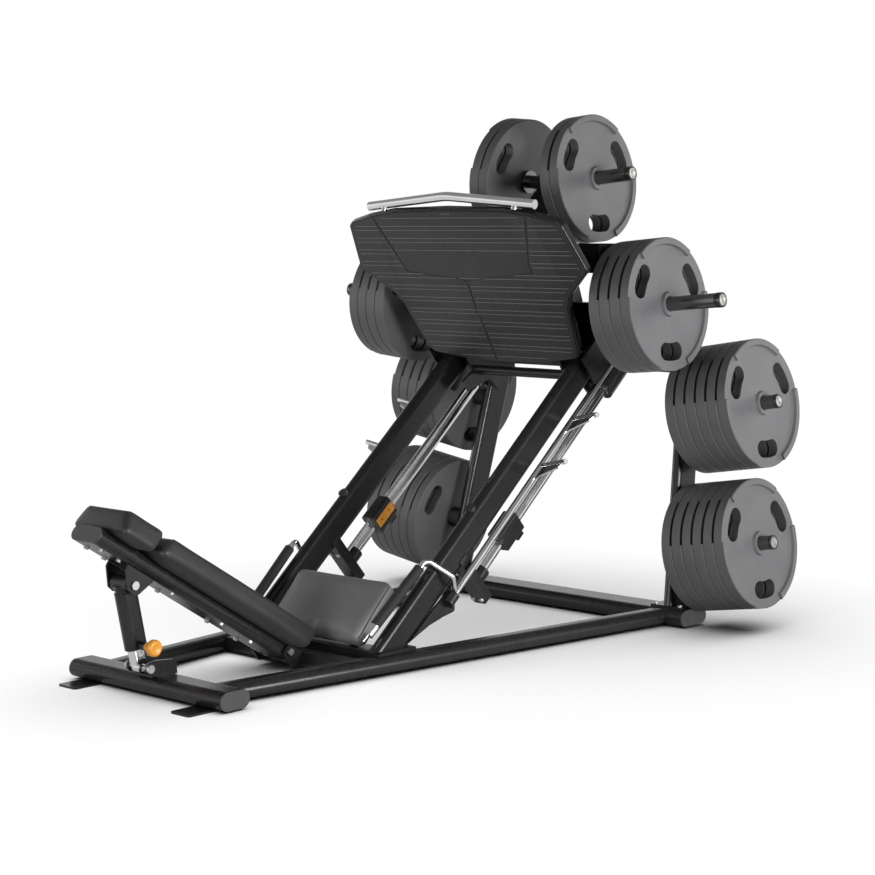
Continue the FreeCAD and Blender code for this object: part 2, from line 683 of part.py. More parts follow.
def stop_handles():
    sockets = []
    for side_name, side in SIDES.items():
        x = side * d.shaft_x
        start = slide_point(x, d.shaft_start, d.shaft_below)
        end = slide_point(x, d.shaft_end, d.shaft_below)
        shaft = rod(d.shaft_radius, start, end)
        for along in (d.arm_upper, d.arm_lower):
            root_point = slide_point(x, along, d.shaft_below)
            tip = slide_point(side * d.arm_tip_x, along, d.arm_tip_below)
            outward = (tip - root_point).normalize()
            arm = rod(d.arm_radius, root_point, tip)
            corners = [root_point + outward * 8, tip - outward * 12, tip - outward * 22 - ALONG * 26,
                       root_point + outward * 42 - ALONG * 50, root_point + outward * 8 - ALONG * 62]
            face = Part.Face(Part.makePolygon(corners + corners[:1]))
            normal = outward.cross(ALONG).normalize()
            face.translate(normal * -3)
            shaft = shaft.fuse(arm).fuse(face.extrude(normal * 6))
        keep(f"stop_shaft_{side_name}", feature(f"stop_shaft_{side_name}", shaft.removeSplitter()))

        grip_low = slide_point(side * (d.handle_x - 8), -45, d.handle_below)
        grip_top = slide_point(side * (d.handle_x + 8), 205, d.handle_below)
        along_grip = (grip_top - grip_low).normalize()
        low_end = grip_low - along_grip * 30
        bend_top = grip_top + along_grip * 38
        outer = slide_point(side * (d.shaft_x + 14), 262, 6)
        foot = slide_point(x, 248, d.shaft_below - d.shaft_radius + 2)
        tube = bent_tube(d.handle_radius, [low_end, bend_top, outer, foot], 28)
        tube = tube.cut(shaft)
        tube = max(tube.Solids, key=lambda solid: solid.Volume)
        # bright end collar below the foam, with a thin stub on its end
        collar = rod(d.foam_radius, grip_low - along_grip * 37, grip_low - along_grip * 1)
        collar = collar.fuse(rod(4, grip_low - along_grip * 64, grip_low - along_grip * 30))
        top_collar = rod(12, grip_top + along_grip * 1, grip_top + along_grip * 9)
        tube = tube.fuse(collar).fuse(top_collar)
        keep(f"stop_handle_{side_name}", feature(f"stop_handle_{side_name}", tube.removeSplitter()))
        foam = rod(d.foam_radius, grip_low, grip_top).cut(rod(d.handle_radius, grip_low, grip_top))
        keep(f"handle_grip_{side_name}", feature(f"handle_grip_{side_name}", foam))

        socket = rod(20, slide_point(x, 196, d.shaft_below), slide_point(x, 238, d.shaft_below))
        plate = Part.Face(Part.makePolygon([slide_point(0, along, below) for along, below in
                                            ((0, 34), (150, 40), (238, 48), (238, 92), (214, 118), (206, 118),
                                             (162, 93), (102, 65), (53, 49), (0, 34))]))
        plate.translate(Vector(side * (d.upright_x + d.upright_thick / 2) - (0 if side > 0 else 8), 0, 0))
        gusset = plate.extrude(Vector(8, 0, 0))
        bore = rod(d.shaft_radius + 0.06, start - ALONG * 0.6, end)
        lower = socket.fuse(gusset).cut(bore).cut(upright_solid(side))
        upper = slide_box(min(side * 316, side * 350), max(side * 316, side * 350), 1490, 1530, 48, 84)
        upper = upper.cut(rod(d.shaft_radius + 0.06, start, end)).cut(upright_solid(side))
        sockets.append(max(lower.Solids, key=lambda solid: solid.Volume))
        sockets.append(max(upper.Solids, key=lambda solid: solid.Volume))
    compound("stop_sockets", sockets)


def stop_blocks():
    for side_name, side in SIDES.items():
        x = side * d.upright_x
        low, high = d.block_start, d.block_start + d.block_long
        box = slide_box(x - d.block_half, x + d.block_half, low, high, 98, 178)
        edges = [edge for edge in box.Edges if abs(edge.tangentAt(edge.FirstParameter).dot(ALONG)) > 0.9]
        box = box.makeFillet(12, edges)
        waist = slide_box(x - 26, x + 26, low + 26, high - 44, 174, 190)
        lever = slide_box(x - 20, x + 20, high - 42, high - 8, 172, 194)
        block = box.fuse(lever).cut(waist)
        inboard = x - side * d.block_half
        recess = slide_box(min(inboard, inboard + side * 4), max(inboard, inboard + side * 4),
                           low + 3, high - 3, 116, 152)
        block = block.cut(recess)
        for radius, below in ((d.guide_radius, d.guide_below), (d.index_radius, d.index_below)):
            bore = rod(radius + 0.06, slide_point(x, low - 1, below), slide_point(x, high + 1, below))
            block = block.cut(bore)
        keep(f"stop_block_{side_name}", feature(f"stop_block_{side_name}", block.removeSplitter()))
        faces = (inboard - side * 2, inboard + side * 4)
        plate = slide_box(min(faces), max(faces), low + 3.2, high - 3.2, 116.2, 151.8)
        for along in (low + 30, high - 30):
            plate = plate.cut(Part.makeCylinder(4, 12, slide_point(inboard - 6, along, 134), X_AXIS))
        keep(f"stop_index_plate_{side_name}", feature(f"stop_index_plate_{side_name}", plate))


# ---------------------------------------------------------------- carriage

FOOT_OUTLINE = [(0, -66), (250, -59), (372, -40), (466, -16), (484, 0), (520, 177), (514, 187), (404, 282),
                (380, 330), (352, 500), (336, 532), (318, 540), (200, 558), (0, 570)]


def footplate():
    right = FOOT_OUTLINE
    left = [(-x, w) for x, w in reversed(right[1:-1])]
    outline = right + left
    # local X is +X, local Y is up the plate, so local Z points at the user's feet
    place = placed(foot_point(0, 0, d.foot_thick), X_AXIS, FOOT_BACK * -1)
    body = plate_body("foot_slab", [(x, -w) for x, w in outline], d.foot_thick, place, "dims.foot_thick")
    doc.recompute()
    slab = body.Tip
    rim = [f"Edge{index + 1}" for index, edge in enumerate(slab.Shape.Edges)
           if all(abs(vertex.Point.z - d.foot_thick) < 0.01 for vertex in edge.Vertexes)]
    fillet = body.newObject("PartDesign::Fillet", "foot_edge")
    fillet.Base = (slab, rim)
    fillet.Radius = 6
    keep("footplate", body)


def foot_space():
    """Block that covers the footplate and everything in front of its back face."""
    block = Part.makeBox(1200, 800, 200)
    block.Placement = placed(foot_point(-600, 640, d.foot_thick), X_AXIS, FOOT_BACK * -1)
    return block


def carriage_frame():
    back_low, back_high = 1225.5, 1281.5
    outline = [(back_low, -62), (1172, -20), (1150, 10), (1150, 72), (1200, 90), (1262, 116), (1272, 178),
               (1400, 178), (1446, 120),
               (1452, -110), (1500, -250), (1508, -372), (1470, -400), (back_high, -432)]
    side_plates = []
    for side_name, side in SIDES.items():
        x_low = d.side_plate_x if side > 0 else -d.side_plate_x - d.side_plate_thick
        plate = slide_plate(f"side_plate_{side_name}", outline, x_low, d.side_plate_thick,
                            "dims.side_plate_thick", [(1340, 20, 30)])
        side_plates.append(cut_by(f"side_plate_{side_name}", plate, foot_space()))
    linked("carriage_side_plates", side_plates)

    inner = d.side_plate_x
    tube_low = bar("carriage_cross_tube", "carriage_tube", slide_point(-inner, 1229, 37),
                   slide_point(inner, 1229, 37))
    keep("carriage_cross_tube", tube_low)

    size = d.horn_beam
    _, outward, face = stack_frame("carriage_middle", 1)
    reach = (face - outward * 62).x
    middle_y = STACKS["carriage_middle"][1]
    centre_z = face.z - (face.x - inner - 60) * math.tan(math.radians(d.carriage_tilt))
    beams = []
    for side in SIDES.values():
        low_x = inner + d.side_plate_thick
        box = Part.makeBox(reach - low_x, size, size,
                           station(low_x, middle_y - size / 2, centre_z - size / 2))
        box = box.cut(Part.makeBox(reach - low_x - 4, size - 8, size - 8,
                                   station(low_x, middle_y - size / 2 + 4, centre_z - size / 2 + 4)))
        beams.append(box if side > 0 else box.mirror(Vector(0, 0, 0), X_AXIS))
    centre_beam = Part.makeBox(2 * inner, size, size,
                               station(-inner, middle_y - size / 2, centre_z - size / 2))
    inside = station(-inner, middle_y - size / 2 + 4, centre_z - size / 2 + 4)
    centre_beam = centre_beam.cut(Part.makeBox(2 * inner, size - 8, size - 8, inside))
    beams.append(centre_beam)
    compound("horn_beams", beams)

    high_y, high_z = 1700, 1290
    wide = 100
    half = 430
    top_beam = Part.makeBox(2 * half, wide, wide, station(-half, high_y - wide / 2, high_z - wide / 2))
    top_beam = top_beam.cut(Part.makeBox(2 * half - 8, wide - 8, wide - 8,
                                         station(-half + 4, high_y - wide / 2 + 4, high_z - wide / 2 + 4)))
    for side in SIDES.values():
        x_low = d.side_plate_x if side > 0 else -d.side_plate_x - d.side_plate_thick
        shadow = Part.Face(Part.makePolygon([slide_point(x_low, *point) for point in outline + outline[:1]]))
        top_beam = top_beam.cut(shadow.extrude(Vector(d.side_plate_thick, 0, 0)))
    top_z = STACKS["carriage_top"][2] - STACKS["carriage_top"][0] * math.tan(math.radians(d.carriage_tilt))
    top_y = STACKS["carriage_top"][1]
    profile = ((1665, 1340), (1745, 1340), (top_y + 30, top_z - 10), (top_y + 30, top_z + 34),
               (top_y - 34, top_z + 34), (top_y - 44, top_z - 20), (1665, 1340))
    mast = Part.Face(Part.makePolygon([station(-40, y, z) for y, z in profile]))
    mast = mast.extrude(Vector(80, 0, 0))
    keep("top_mast", feature("top_mast", mast))
    compound("upper_beam", top_beam.Solids)

    middle_horns = []
    for name in ("carriage_middle", "carriage_top"):
        for side in SIDES.values():
            face_point, outward, inner_face = stack_frame(name, side)
            tip = face_point + outward * STACKS[name][5]
            depth = 60 if name == "carriage_middle" else 78
            horn = horn_rod(inner_face - outward * depth, face_point, tip)
            hub = rod(d.hub_radius, inner_face - outward * (depth if name == "carriage_middle" else 14),
                      inner_face - outward * 1)
            horn = horn.fuse(hub)
            horn = horn.cut(mast)
            for beam in beams:
                horn = horn.cut(beam)
            middle_horns.append(max(horn.Solids, key=lambda solid: solid.Volume).removeSplitter())
    compound("carriage_horns", middle_horns)

    housings = []
    for side in SIDES.values():
        x = side * d.upright_x
        start = slide_point(x, d.housing_start, d.guide_below)
        end = slide_point(x, d.housing_start + d.housing_long, d.guide_below)
        plate_face = side * (d.side_plate_x + d.side_plate_thick)
        block = slide_box(min(plate_face, x), max(plate_face, x), d.housing_start + 10,
                          d.housing_start + d.housing_long - 10, d.guide_below - 24, d.guide_below + 24)
        housing = rod(d.housing_radius, start, end).fuse(block)
        housing = housing.cut(rod(d.bushing_radius, start, end))
        housing = housing.cut(rod(d.index_radius + 1, slide_point(x, d.housing_start - 1, d.index_below),
                                  slide_point(x, d.housing_start + d.housing_long + 1, d.index_below)))
        housings.append(max(housing.Solids, key=lambda solid: solid.Volume).removeSplitter())
    compound("bearing_housings", housings)
    bushings = []
    for side in SIDES.values():
        x = side * d.upright_x
        for low in (d.housing_start + 2, d.housing_start + d.housing_long - 62):
            start = slide_point(x, low, d.guide_below)
            end = slide_point(x, low + 60, d.guide_below)
            bushings.append(rod(d.bushing_radius, start, end).cut(rod(d.guide_radius + 0.05, start, end)))
    compound("linear_bushings", bushings)

    covers = []
    for side in SIDES.values():
        low = d.cover_start
        high = low + d.cover_long
        inner_x = d.side_plate_x + d.side_plate_thick
        skin = slide_box(d.cover_x, d.cover_x + d.cover_thick, low, high, -78, 40)
        shelf = slide_box(inner_x, d.cover_x + d.cover_thick, low + 40, high, -78, -70)
        cover = skin.fuse(shelf).removeSplitter()
        cover = cover if side > 0 else cover.mirror(Vector(0, 0, 0), X_AXIS)
        covers.append(cover)
    compound("carriage_covers", covers)


def foot_bar():
    end = station(377, 1374, 1469)
    apex = station(0, 1356, 1500)
    mirror = Vector(-end.x, end.y, end.z)
    tube = bent_tube(16, [mirror, apex, end], 260)
    for side in SIDES.values():
        top = station(side * 297, 1369.5, 1475)
        low = foot_point(side * 297, -52, 15)
        tube = tube.fuse(rod(9, low, top))
    doc.recompute()
    tube = tube.cut(NODES["footplate"].Shape)
    tube = max(tube.Solids, key=lambda solid: solid.Volume)
    keep("footplate_bar", feature("footplate_bar", tube.removeSplitter()))


# ---------------------------------------------------------------- backrest, seat and strut

def backrest():
    start = back_point(0, d.beam_start, -d.beam_thick / 2)
    beam = oval_tube("backrest_tube", "beam_wide", "beam_thick", "tube_wall", d.beam_end - d.beam_start,
                     placed(start, X_AXIS, BACK_ALONG), "dims.beam_end - dims.beam_start")
    hinge = back_point(0, d.hinge_along, -d.beam_thick / 2)
    pin_hole = rod(d.hinge_pin + 0.05, hinge - X_AXIS * 90, hinge + X_AXIS * 90)
    ears = []
    high = station(0, d.strut_high_y, d.strut_high_z)
    offset = high - back_point(0, 0, -d.beam_thick)
    along = offset.dot(BACK_ALONG)
    drop = offset.dot(BACK_UP)
    outline = [(along - 52, 0), (along + 62, 0), (along + 30, drop - 16), (along + 10, drop - 26),
               (along - 14, drop - 22), (along - 52, -16)]
    for x_low in (-48, 42):
        corners = [back_point(x_low, t, -d.beam_thick + n) for t, n in outline + outline[:1]]
        face = Part.Face(Part.makePolygon(corners))
        ears.append(face.extrude(Vector(6, 0, 0)))
    frame = cut_by("backrest_tube", beam, pin_hole)
    keep("backrest_beam", frame)
    hole = rod(8.05, high - X_AXIS * 60, high + X_AXIS * 60)
    compound("backrest_strut_ears", [ear.cut(hole) for ear in ears])
    cap = oval_solid(d.beam_wide, d.beam_thick, 5, placed(back_point(0, d.beam_start - 5, -d.beam_thick / 2),
                                                          X_AXIS, BACK_ALONG))
    keep("backrest_end_cap", feature("backrest_end_cap", cap))

    pin = rod(d.hinge_pin, hinge - X_AXIS * 84, hinge + X_AXIS * 84)
    heads = [rod(11, hinge + X_AXIS * side * 84, hinge + X_AXIS * side * 90) for side in (1, -1)]
    hinge_pin = pin.fuse(heads).removeSplitter()

    lugs = []
    bar_front = d.hinge_bar_station - d.hinge_bar_depth / 2
    top_z = d.floor_gap + d.base_height - 8
    hinge_y = hinge.y + origin_y
    for x_low in (-78, 70):
        points = [(bar_front, top_z - d.hinge_bar_height), (bar_front, top_z),
                  (hinge_y + 14, hinge.z + 16), (hinge_y - 4, hinge.z + 19), (hinge_y - 18, hinge.z + 4),
                  (hinge_y - 14, hinge.z - 16), (hinge_y + 10, top_z - d.hinge_bar_height)]
        face = Part.Face(Part.makePolygon([station(x_low, y, z) for y, z in points + points[:1]]))
        pin_hole = rod(d.hinge_pin, hinge - X_AXIS * 90, hinge + X_AXIS * 90)
        lugs.append(face.extrude(Vector(8, 0, 0)).cut(pin_hole))
    compound("backrest_hinge_lugs", lugs)
    return hinge_pin


def loft_pad(sections):
    wires = [Part.makePolygon(points + points[:1]) for points in sections]
    return Part.makeLoft(wires, True, True)


def rounded(shape, radius):
    return shape.makeFillet(radius, shape.Edges)


def cushions():
    low = [back_point(x, t, 0.3) for x, t in ((-132, 2), (132, 2), (132, 133), (-132, 133))]
    high = [back_point(x, t, 78) for x, t in ((-98, 4), (98, 4), (98, 174), (-98, 174))]
    keep("headrest_pad", feature("headrest_pad", rounded(loft_pad([low, high]), 14)))
    low = [back_point(x, t, 0.3) for x, t in ((-135, 147), (135, 147), (128, 862), (-128, 862))]
    high = [back_point(x, t, up) for x, t, up in ((-112, 186, 72), (112, 186, 72),
                                                  (96, 914, 80), (-96, 914, 80))]
    keep("back_pad", feature("back_pad", rounded(loft_pad([low, high]), 18)))
    up = Vector(0, cosd(d.seat_slope), sind(d.seat_slope))
    out = Vector(0, -sind(d.seat_slope), cosd(d.seat_slope))
    corner = station(0, 690, 100)
    half = d.seat_half

    def seat_point(x, along, depth):
        return corner + X_AXIS * x + up * along - out * depth

    top = [seat_point(x, t, 0) for x, t in ((-half, 0), (half, 0), (half, d.seat_long), (-half, d.seat_long))]
    low = [seat_point(x, t, d.seat_thick) for x, t in ((-half, 6), (half, 6), (half, d.seat_long - 4),
                                                      (-half, d.seat_long - 4))]
    crossmembers = Part.makeBox(600, 300, 100, station(-300, 600, d.floor_gap + d.base_height - 99.7))
    keep("seat_pad", feature("seat_pad", rounded(loft_pad([low, top]), 22).cut(crossmembers)))
    plate = Part.makePolygon([seat_point(x, t, d.seat_thick + 0.3) for x, t in
                              ((-150, 30), (150, 30), (150, 210), (-150, 210), (-150, 30))])
    frame = Part.Face(plate).extrude(out * -6)
    for x in (-120, 112):
        profile = ((745, 62), (789, 62), (940, 175), (905, 205), (760, 70), (745, 62))
        rib = Part.Face(Part.makePolygon([station(x, y, z) for y, z in profile]))
        rib = rib.extrude(Vector(8, 0, 0))
        under = d.seat_thick + 6.2
        corners = [seat_point(x - 5, t, n) for t, n in ((-200, under), (500, under), (500, -300), (-200, -300),
                                                        (-200, under))]
        above = Part.Face(Part.makePolygon(corners)).extrude(Vector(20, 0, 0))
        frame = frame.fuse(rib.cut(above))
    keep("seat_frame", feature("seat_frame", Part.makeCompound(frame.Solids)))


def strut():
    low = station(0, d.strut_low_y, d.strut_low_z)
    high = station(0, d.strut_high_y, d.strut_high_z)
    along = (high - low).normalize()
    reach = (high - low).Length
    side = Vector(0, along.z, -along.y)
    outer = oval_solid(72, 52, reach - 62 - 24, placed(low + along * 62, side, along))
    bore = oval_solid(58, 32, reach - 62 - 24, placed(low + along * 62, side, along))
    outer = outer.cut(bore)
    eye = rod(24, high - X_AXIS * 36, high + X_AXIS * 36)
    neck = oval_solid(64, 48, 44, placed(high - along * 44, side, along))
    outer = outer.fuse(eye).fuse(neck)
    pin = rod(8, high - X_AXIS * 50, high + X_AXIS * 50)
    outer = outer.cut(rod(8.05, high - X_AXIS * 60, high + X_AXIS * 60))
    pin_z = low + along * 72
    boss = Part.makeCylinder(13, 44, pin_z + X_AXIS * 22, X_AXIS)
    outer = outer.fuse(boss).cut(Part.makeCylinder(7.05, 80, pin_z - X_AXIS * 1, X_AXIS)).cut(bore)
    keep("strut_outer_tube", feature("strut_outer_tube", max(outer.Solids, key=lambda s: s.Volume)))
    heads = [rod(13, high + X_AXIS * s * 48.4, high + X_AXIS * s * 56) for s in (1, -1)]
    upper_pin = pin.fuse(heads).removeSplitter()

    inner = oval_solid(57.6, 31.6, 180, placed(low + along * 14, side, along))
    foot = rod(17, low - X_AXIS * 15.8, low + X_AXIS * 15.8)
    inner = inner.fuse(foot).cut(rod(11.5, low - X_AXIS * 30, low + X_AXIS * 30))
    for step in range(-1, 4):
        inner = inner.cut(Part.makeCylinder(5, 20, low + along * (72 + 28 * step) + X_AXIS * 2, X_AXIS))
    groove = Part.makeBox(14.2, 130, 20)
    groove.Placement = placed(low + along * 36 - side * 7.1 + X_AXIS * 8, side, X_AXIS)
    if groove.CenterOfMass.sub(low).dot(along) < 0:
        groove.Placement = placed(low + along * 36 + side * 7.1 + X_AXIS * 8, side * -1, X_AXIS)
    inner = inner.cut(groove)
    keep("strut_inner_bar", feature("strut_inner_bar", inner.removeSplitter()))

    pull = Part.makeCylinder(7, 84, pin_z + X_AXIS * 9, X_AXIS)
    knob = Part.makeCylinder(26, 16, pin_z + X_AXIS * 82, X_AXIS)
    knob = knob.makeFillet(6, [edge for edge in knob.Edges if len(edge.Vertexes) == 1])
    neck = Part.makeCone(12, 17, 12, pin_z + X_AXIS * 70, X_AXIS)
    keep("pop_pin_knob", feature("pop_pin_knob", pull.fuse(knob).fuse(neck).removeSplitter()))

    top_z = d.floor_gap + d.base_height
    bracket = Part.makeBox(76, 100, 6, station(-38, 6, top_z))
    base = []
    for x_low in (-46, 38):
        face = Part.Face(Part.makePolygon([station(x_low, y, z) for y, z in
                                           ((-22, 84), (-12, 110), (14, 114), (84, 108), (98, 96), (98, top_z),
                                            (26, top_z), (-10, top_z + 12), (-22, 84))]))
        face = face.extrude(Vector(8, 0, 0)).cut(rod(8, low - X_AXIS * 60, low + X_AXIS * 60))
        base.append(face)
    bracket = bracket.fuse(base)
    front = oval_solid(d.front_tube_depth, d.base_height, 200,
                       placed(station(-100, d.front_tube_depth / 2, base_middle),
                                                                      Y_AXIS, X_AXIS))
    keep("strut_base_bracket", feature("strut_base_bracket", bracket.cut(front).removeSplitter()))
    pin = rod(8, low - X_AXIS * 50, low + X_AXIS * 50)
    heads = [rod(13, low + X_AXIS * s * 46.4, low + X_AXIS * s * 55) for s in (1, -1)]
    return upper_pin, pin.fuse(heads).removeSplitter()


# ---------------------------------------------------------------- fasteners

def hex_bolt(centre, axis, size=9, height=6):
    corners = [Vector(size * cosd(60 * k), size * sind(60 * k), 0) for k in range(7)]
    head = Part.Face(Part.makePolygon(corners)).extrude(Vector(0, 0, height))
    helper = Y_AXIS if abs(axis.x) > 0.9 else X_AXIS
    head.Placement = placed(centre, helper, axis)
    return head


def frame_bolts():
    bolts = []
    top_z = d.floor_gap + d.base_height
    for side in SIDES.values():
        foot, _ = post_axis(side)
        for dx in (-50, 50):
            for dy in (-30, 30):
                bolts.append(hex_bolt(Vector(foot.x + dx, station(0, d.rear_tube_station + dy, 0).y,
                                             top_z + d.flange_thick), Z_AXIS))
        x = side * d.upright_x
        for below in (80, 205):
            for offset in (-18, 18):
                bolts.append(hex_bolt(slide_point(x + offset, d.mount_start, below), ALONG * -1, 8, 6))
    compound("frame_bolts", bolts)


def backrest_hardware(upper_pin):
    screws = [upper_pin]
    for along in (20, 95, 330, 560, 700):
        for x in (-34, 34):
            screws.append(hex_bolt(back_point(x, along, -d.beam_thick), BACK_UP * -1, 8, 7))
    compound("backrest_hardware", screws)


base_frame()
uprights()
storage_posts()
rear_upper_frame()
plate_stacks(weight_plate())
horns()
guide_rods()
stop_handles()
stop_blocks()
footplate()
carriage_frame()
foot_bar()
hinge_pin = backrest()
cushions()
upper_pin, base_pin = strut()
compound("pivot_pins", [hinge_pin, base_pin])
frame_bolts()
backrest_hardware(upper_pin)

doc.recompute()
for obj in doc.Objects:
    if "Invalid" in obj.State or "Error" in obj.State:
        raise RuntimeError(f"{obj.Name} did not build: {obj.State}")
os.makedirs("parts", exist_ok=True)
for label, obj in NODES.items():
    shape = obj.Shape
    if shape.isNull() or not shape.isValid() or not shape.Solids:
        raise RuntimeError(f"{label} is not a valid solid")
    shape.exportStep(f"parts/{label}.step")
print(len(NODES), "nodes written")
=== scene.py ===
import json
import math

import bmesh
import bpy
from mathutils import Matrix, Vector


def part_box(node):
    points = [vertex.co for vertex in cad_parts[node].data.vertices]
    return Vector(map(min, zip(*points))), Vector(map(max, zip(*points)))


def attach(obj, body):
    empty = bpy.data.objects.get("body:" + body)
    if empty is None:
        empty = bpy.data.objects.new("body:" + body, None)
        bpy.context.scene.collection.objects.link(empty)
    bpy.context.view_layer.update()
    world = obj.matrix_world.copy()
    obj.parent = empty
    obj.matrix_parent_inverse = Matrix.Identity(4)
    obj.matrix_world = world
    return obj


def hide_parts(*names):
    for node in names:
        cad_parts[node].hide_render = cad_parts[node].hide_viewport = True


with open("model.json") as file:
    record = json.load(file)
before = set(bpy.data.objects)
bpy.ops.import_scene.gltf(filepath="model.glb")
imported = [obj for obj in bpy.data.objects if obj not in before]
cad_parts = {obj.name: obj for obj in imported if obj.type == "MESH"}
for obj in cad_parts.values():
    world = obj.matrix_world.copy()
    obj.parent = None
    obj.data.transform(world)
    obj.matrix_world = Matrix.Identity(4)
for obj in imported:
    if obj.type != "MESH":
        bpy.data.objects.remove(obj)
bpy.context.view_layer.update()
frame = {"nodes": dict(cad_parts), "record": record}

NODES = frame["nodes"]

# ---------------------------------------------------------------- setting-out, in metres

BACK_SLOPE = math.radians(31.7)
FOOT_LEAN = math.radians(32.05)
SEAT_SLOPE = math.radians(46)
# distance from the front crossmember's front face to the frame's origin
ORIGIN_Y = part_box("front_crossmember")[0].y


def station(x, y, z):
    return Vector((x, y + ORIGIN_Y, z))


BACK_ALONG = Vector((0, math.cos(BACK_SLOPE), -math.sin(BACK_SLOPE)))
BACK_UP = Vector((0, math.sin(BACK_SLOPE), math.cos(BACK_SLOPE)))
FOOT_DOWN = Vector((0, math.sin(FOOT_LEAN), -math.cos(FOOT_LEAN)))
FOOT_FRONT = Vector((0, -math.cos(FOOT_LEAN), -math.sin(FOOT_LEAN)))
SEAT_UP = Vector((0, math.cos(SEAT_SLOPE), math.sin(SEAT_SLOPE)))
SEAT_OUT = Vector((0, -math.sin(SEAT_SLOPE), math.cos(SEAT_SLOPE)))
X = Vector((1, 0, 0))


def back_point(x, along, up):
    return station(x, -0.161, 0.5217) + BACK_ALONG * along + BACK_UP * up


def foot_point(x, down, front):
    return station(x, 1.375, 1.398) + FOOT_DOWN * down + FOOT_FRONT * front


def seat_point(x, along, out):
    return station(x, 0.69, 0.1) + SEAT_UP * along + SEAT_OUT * out


# ---------------------------------------------------------------- materials

PEEL_DEPTH = 0.0004
METAL_DEPTH = 0.0002
PLASTIC_DEPTH = 0.0003
VINYL_DEPTH = 0.0006
FOAM_DEPTH = 0.0008


def new_material(name):
    material = bpy.data.materials.new(name)
    material.use_nodes = True
    nodes = material.node_tree.nodes
    return material, nodes, material.node_tree.links, nodes["Principled BSDF"]


def add_node(nodes, kind, **settings):
    node = nodes.new(kind)
    for key, value in settings.items():
        if key in node.inputs:
            node.inputs[key].default_value = value
        else:
            setattr(node, key, value)
    return node


def noise(nodes, links, scale, detail=4.0, roughness=0.55):
    """Noise in object space."""
    place = nodes.new("ShaderNodeTexCoord")
    texture = add_node(nodes, "ShaderNodeTexNoise", Scale=scale, Detail=detail, Roughness=roughness)
    links.new(place.outputs["Object"], texture.inputs["Vector"])
    return texture


def span(nodes, links, source, low, high):
    """Maps a 0..1 output to the range low..high."""
    node = nodes.new("ShaderNodeMapRange")
    node.inputs["To Min"].default_value = low
    node.inputs["To Max"].default_value = high
    links.new(source, node.inputs["Value"])
    return node.outputs["Result"]


def colour_mix(nodes, links, factor, dark, light):
    ramp = nodes.new("ShaderNodeValToRGB")
    ramp.color_ramp.elements[0].position = 0.3
    ramp.color_ramp.elements[0].color = (*dark, 1)
    ramp.color_ramp.elements[1].position = 0.7
    ramp.color_ramp.elements[1].color = (*light, 1)
    links.new(factor, ramp.inputs["Fac"])
    return ramp.outputs["Color"]


def bump(nodes, links, shader, height, strength, distance):
    node = nodes.new("ShaderNodeBump")
    node.inputs["Strength"].default_value = strength
    node.inputs["Distance"].default_value = distance
    links.new(height, node.inputs["Height"])
    links.new(node.outputs["Normal"], shader.inputs["Normal"])


def painted_edge_highlight(nodes, links):
    """Painted highlight: a brighter colour on convex edges, broken up by noise."""
    geometry = nodes.new("ShaderNodeNewGeometry")
    sharp = nodes.new("ShaderNodeMapRange")
    sharp.inputs["From Min"].default_value = 0.54
    sharp.inputs["From Max"].default_value = 0.62
    links.new(geometry.outputs["Pointiness"], sharp.inputs["Value"])
    patch = noise(nodes, links, 60, 3)
    both = nodes.new("ShaderNodeMath")
    both.operation = "MULTIPLY"
    links.new(sharp.outputs["Result"], both.inputs[0])
    links.new(patch.outputs["Fac"], both.inputs[1])
    return both.outputs["Value"]


def powder_coat(name, dark, light, rough, grain=900, strength=0.12):
    """Satin powder coat: fine orange-peel bump, faint cloudiness and a painted highlight on convex edges."""
    material, nodes, links, shader = new_material(name)
    cloud = noise(nodes, links, 9, 3)
    base = colour_mix(nodes, links, cloud.outputs["Fac"], dark, light)
    # painted highlight: convex edges get a lighter colour for the light they catch
    edge_lit = nodes.new("ShaderNodeMix")
    edge_lit.data_type = "RGBA"
    edge_lit.inputs["B"].default_value = (*[c * 1.8 + 0.01 for c in light], 1)
    links.new(painted_edge_highlight(nodes, links), edge_lit.inputs["Factor"])
    links.new(base, edge_lit.inputs["A"])
    links.new(edge_lit.outputs["Result"], shader.inputs["Base Color"])
    patch = noise(nodes, links, 40, 5)
    gloss = span(nodes, links, patch.outputs["Fac"], rough - 0.05, rough + 0.06)
    links.new(gloss, shader.inputs["Roughness"])
    peel = noise(nodes, links, grain, 2)
    bump(nodes, links, shader, peel.outputs["Fac"], strength, PEEL_DEPTH)
    shader.inputs["Specular IOR Level"].default_value = 0.42
    shader.inputs["Coat Weight"].default_value = 0.06
    shader.inputs["Coat Roughness"].default_value = 0.3
    return material


def metal(name, colour, rough, scale, strength, varied):
    """Bare or plated metal with mottled roughness."""
    material, nodes, links, shader = new_material(name)
    shader.inputs["Metallic"].default_value = 1.0
    mottle = noise(nodes, links, scale, 5, 0.6)
    tint = colour_mix(nodes, links, mottle.outputs["Fac"], [c * 0.88 for c in colour], colour)
    links.new(tint, shader.inputs["Base Color"])
    links.new(span(nodes, links, mottle.outputs["Fac"], rough, rough + varied), shader.inputs["Roughness"])
    bump(nodes, links, shader, mottle.outputs["Fac"], strength, METAL_DEPTH)
    return material


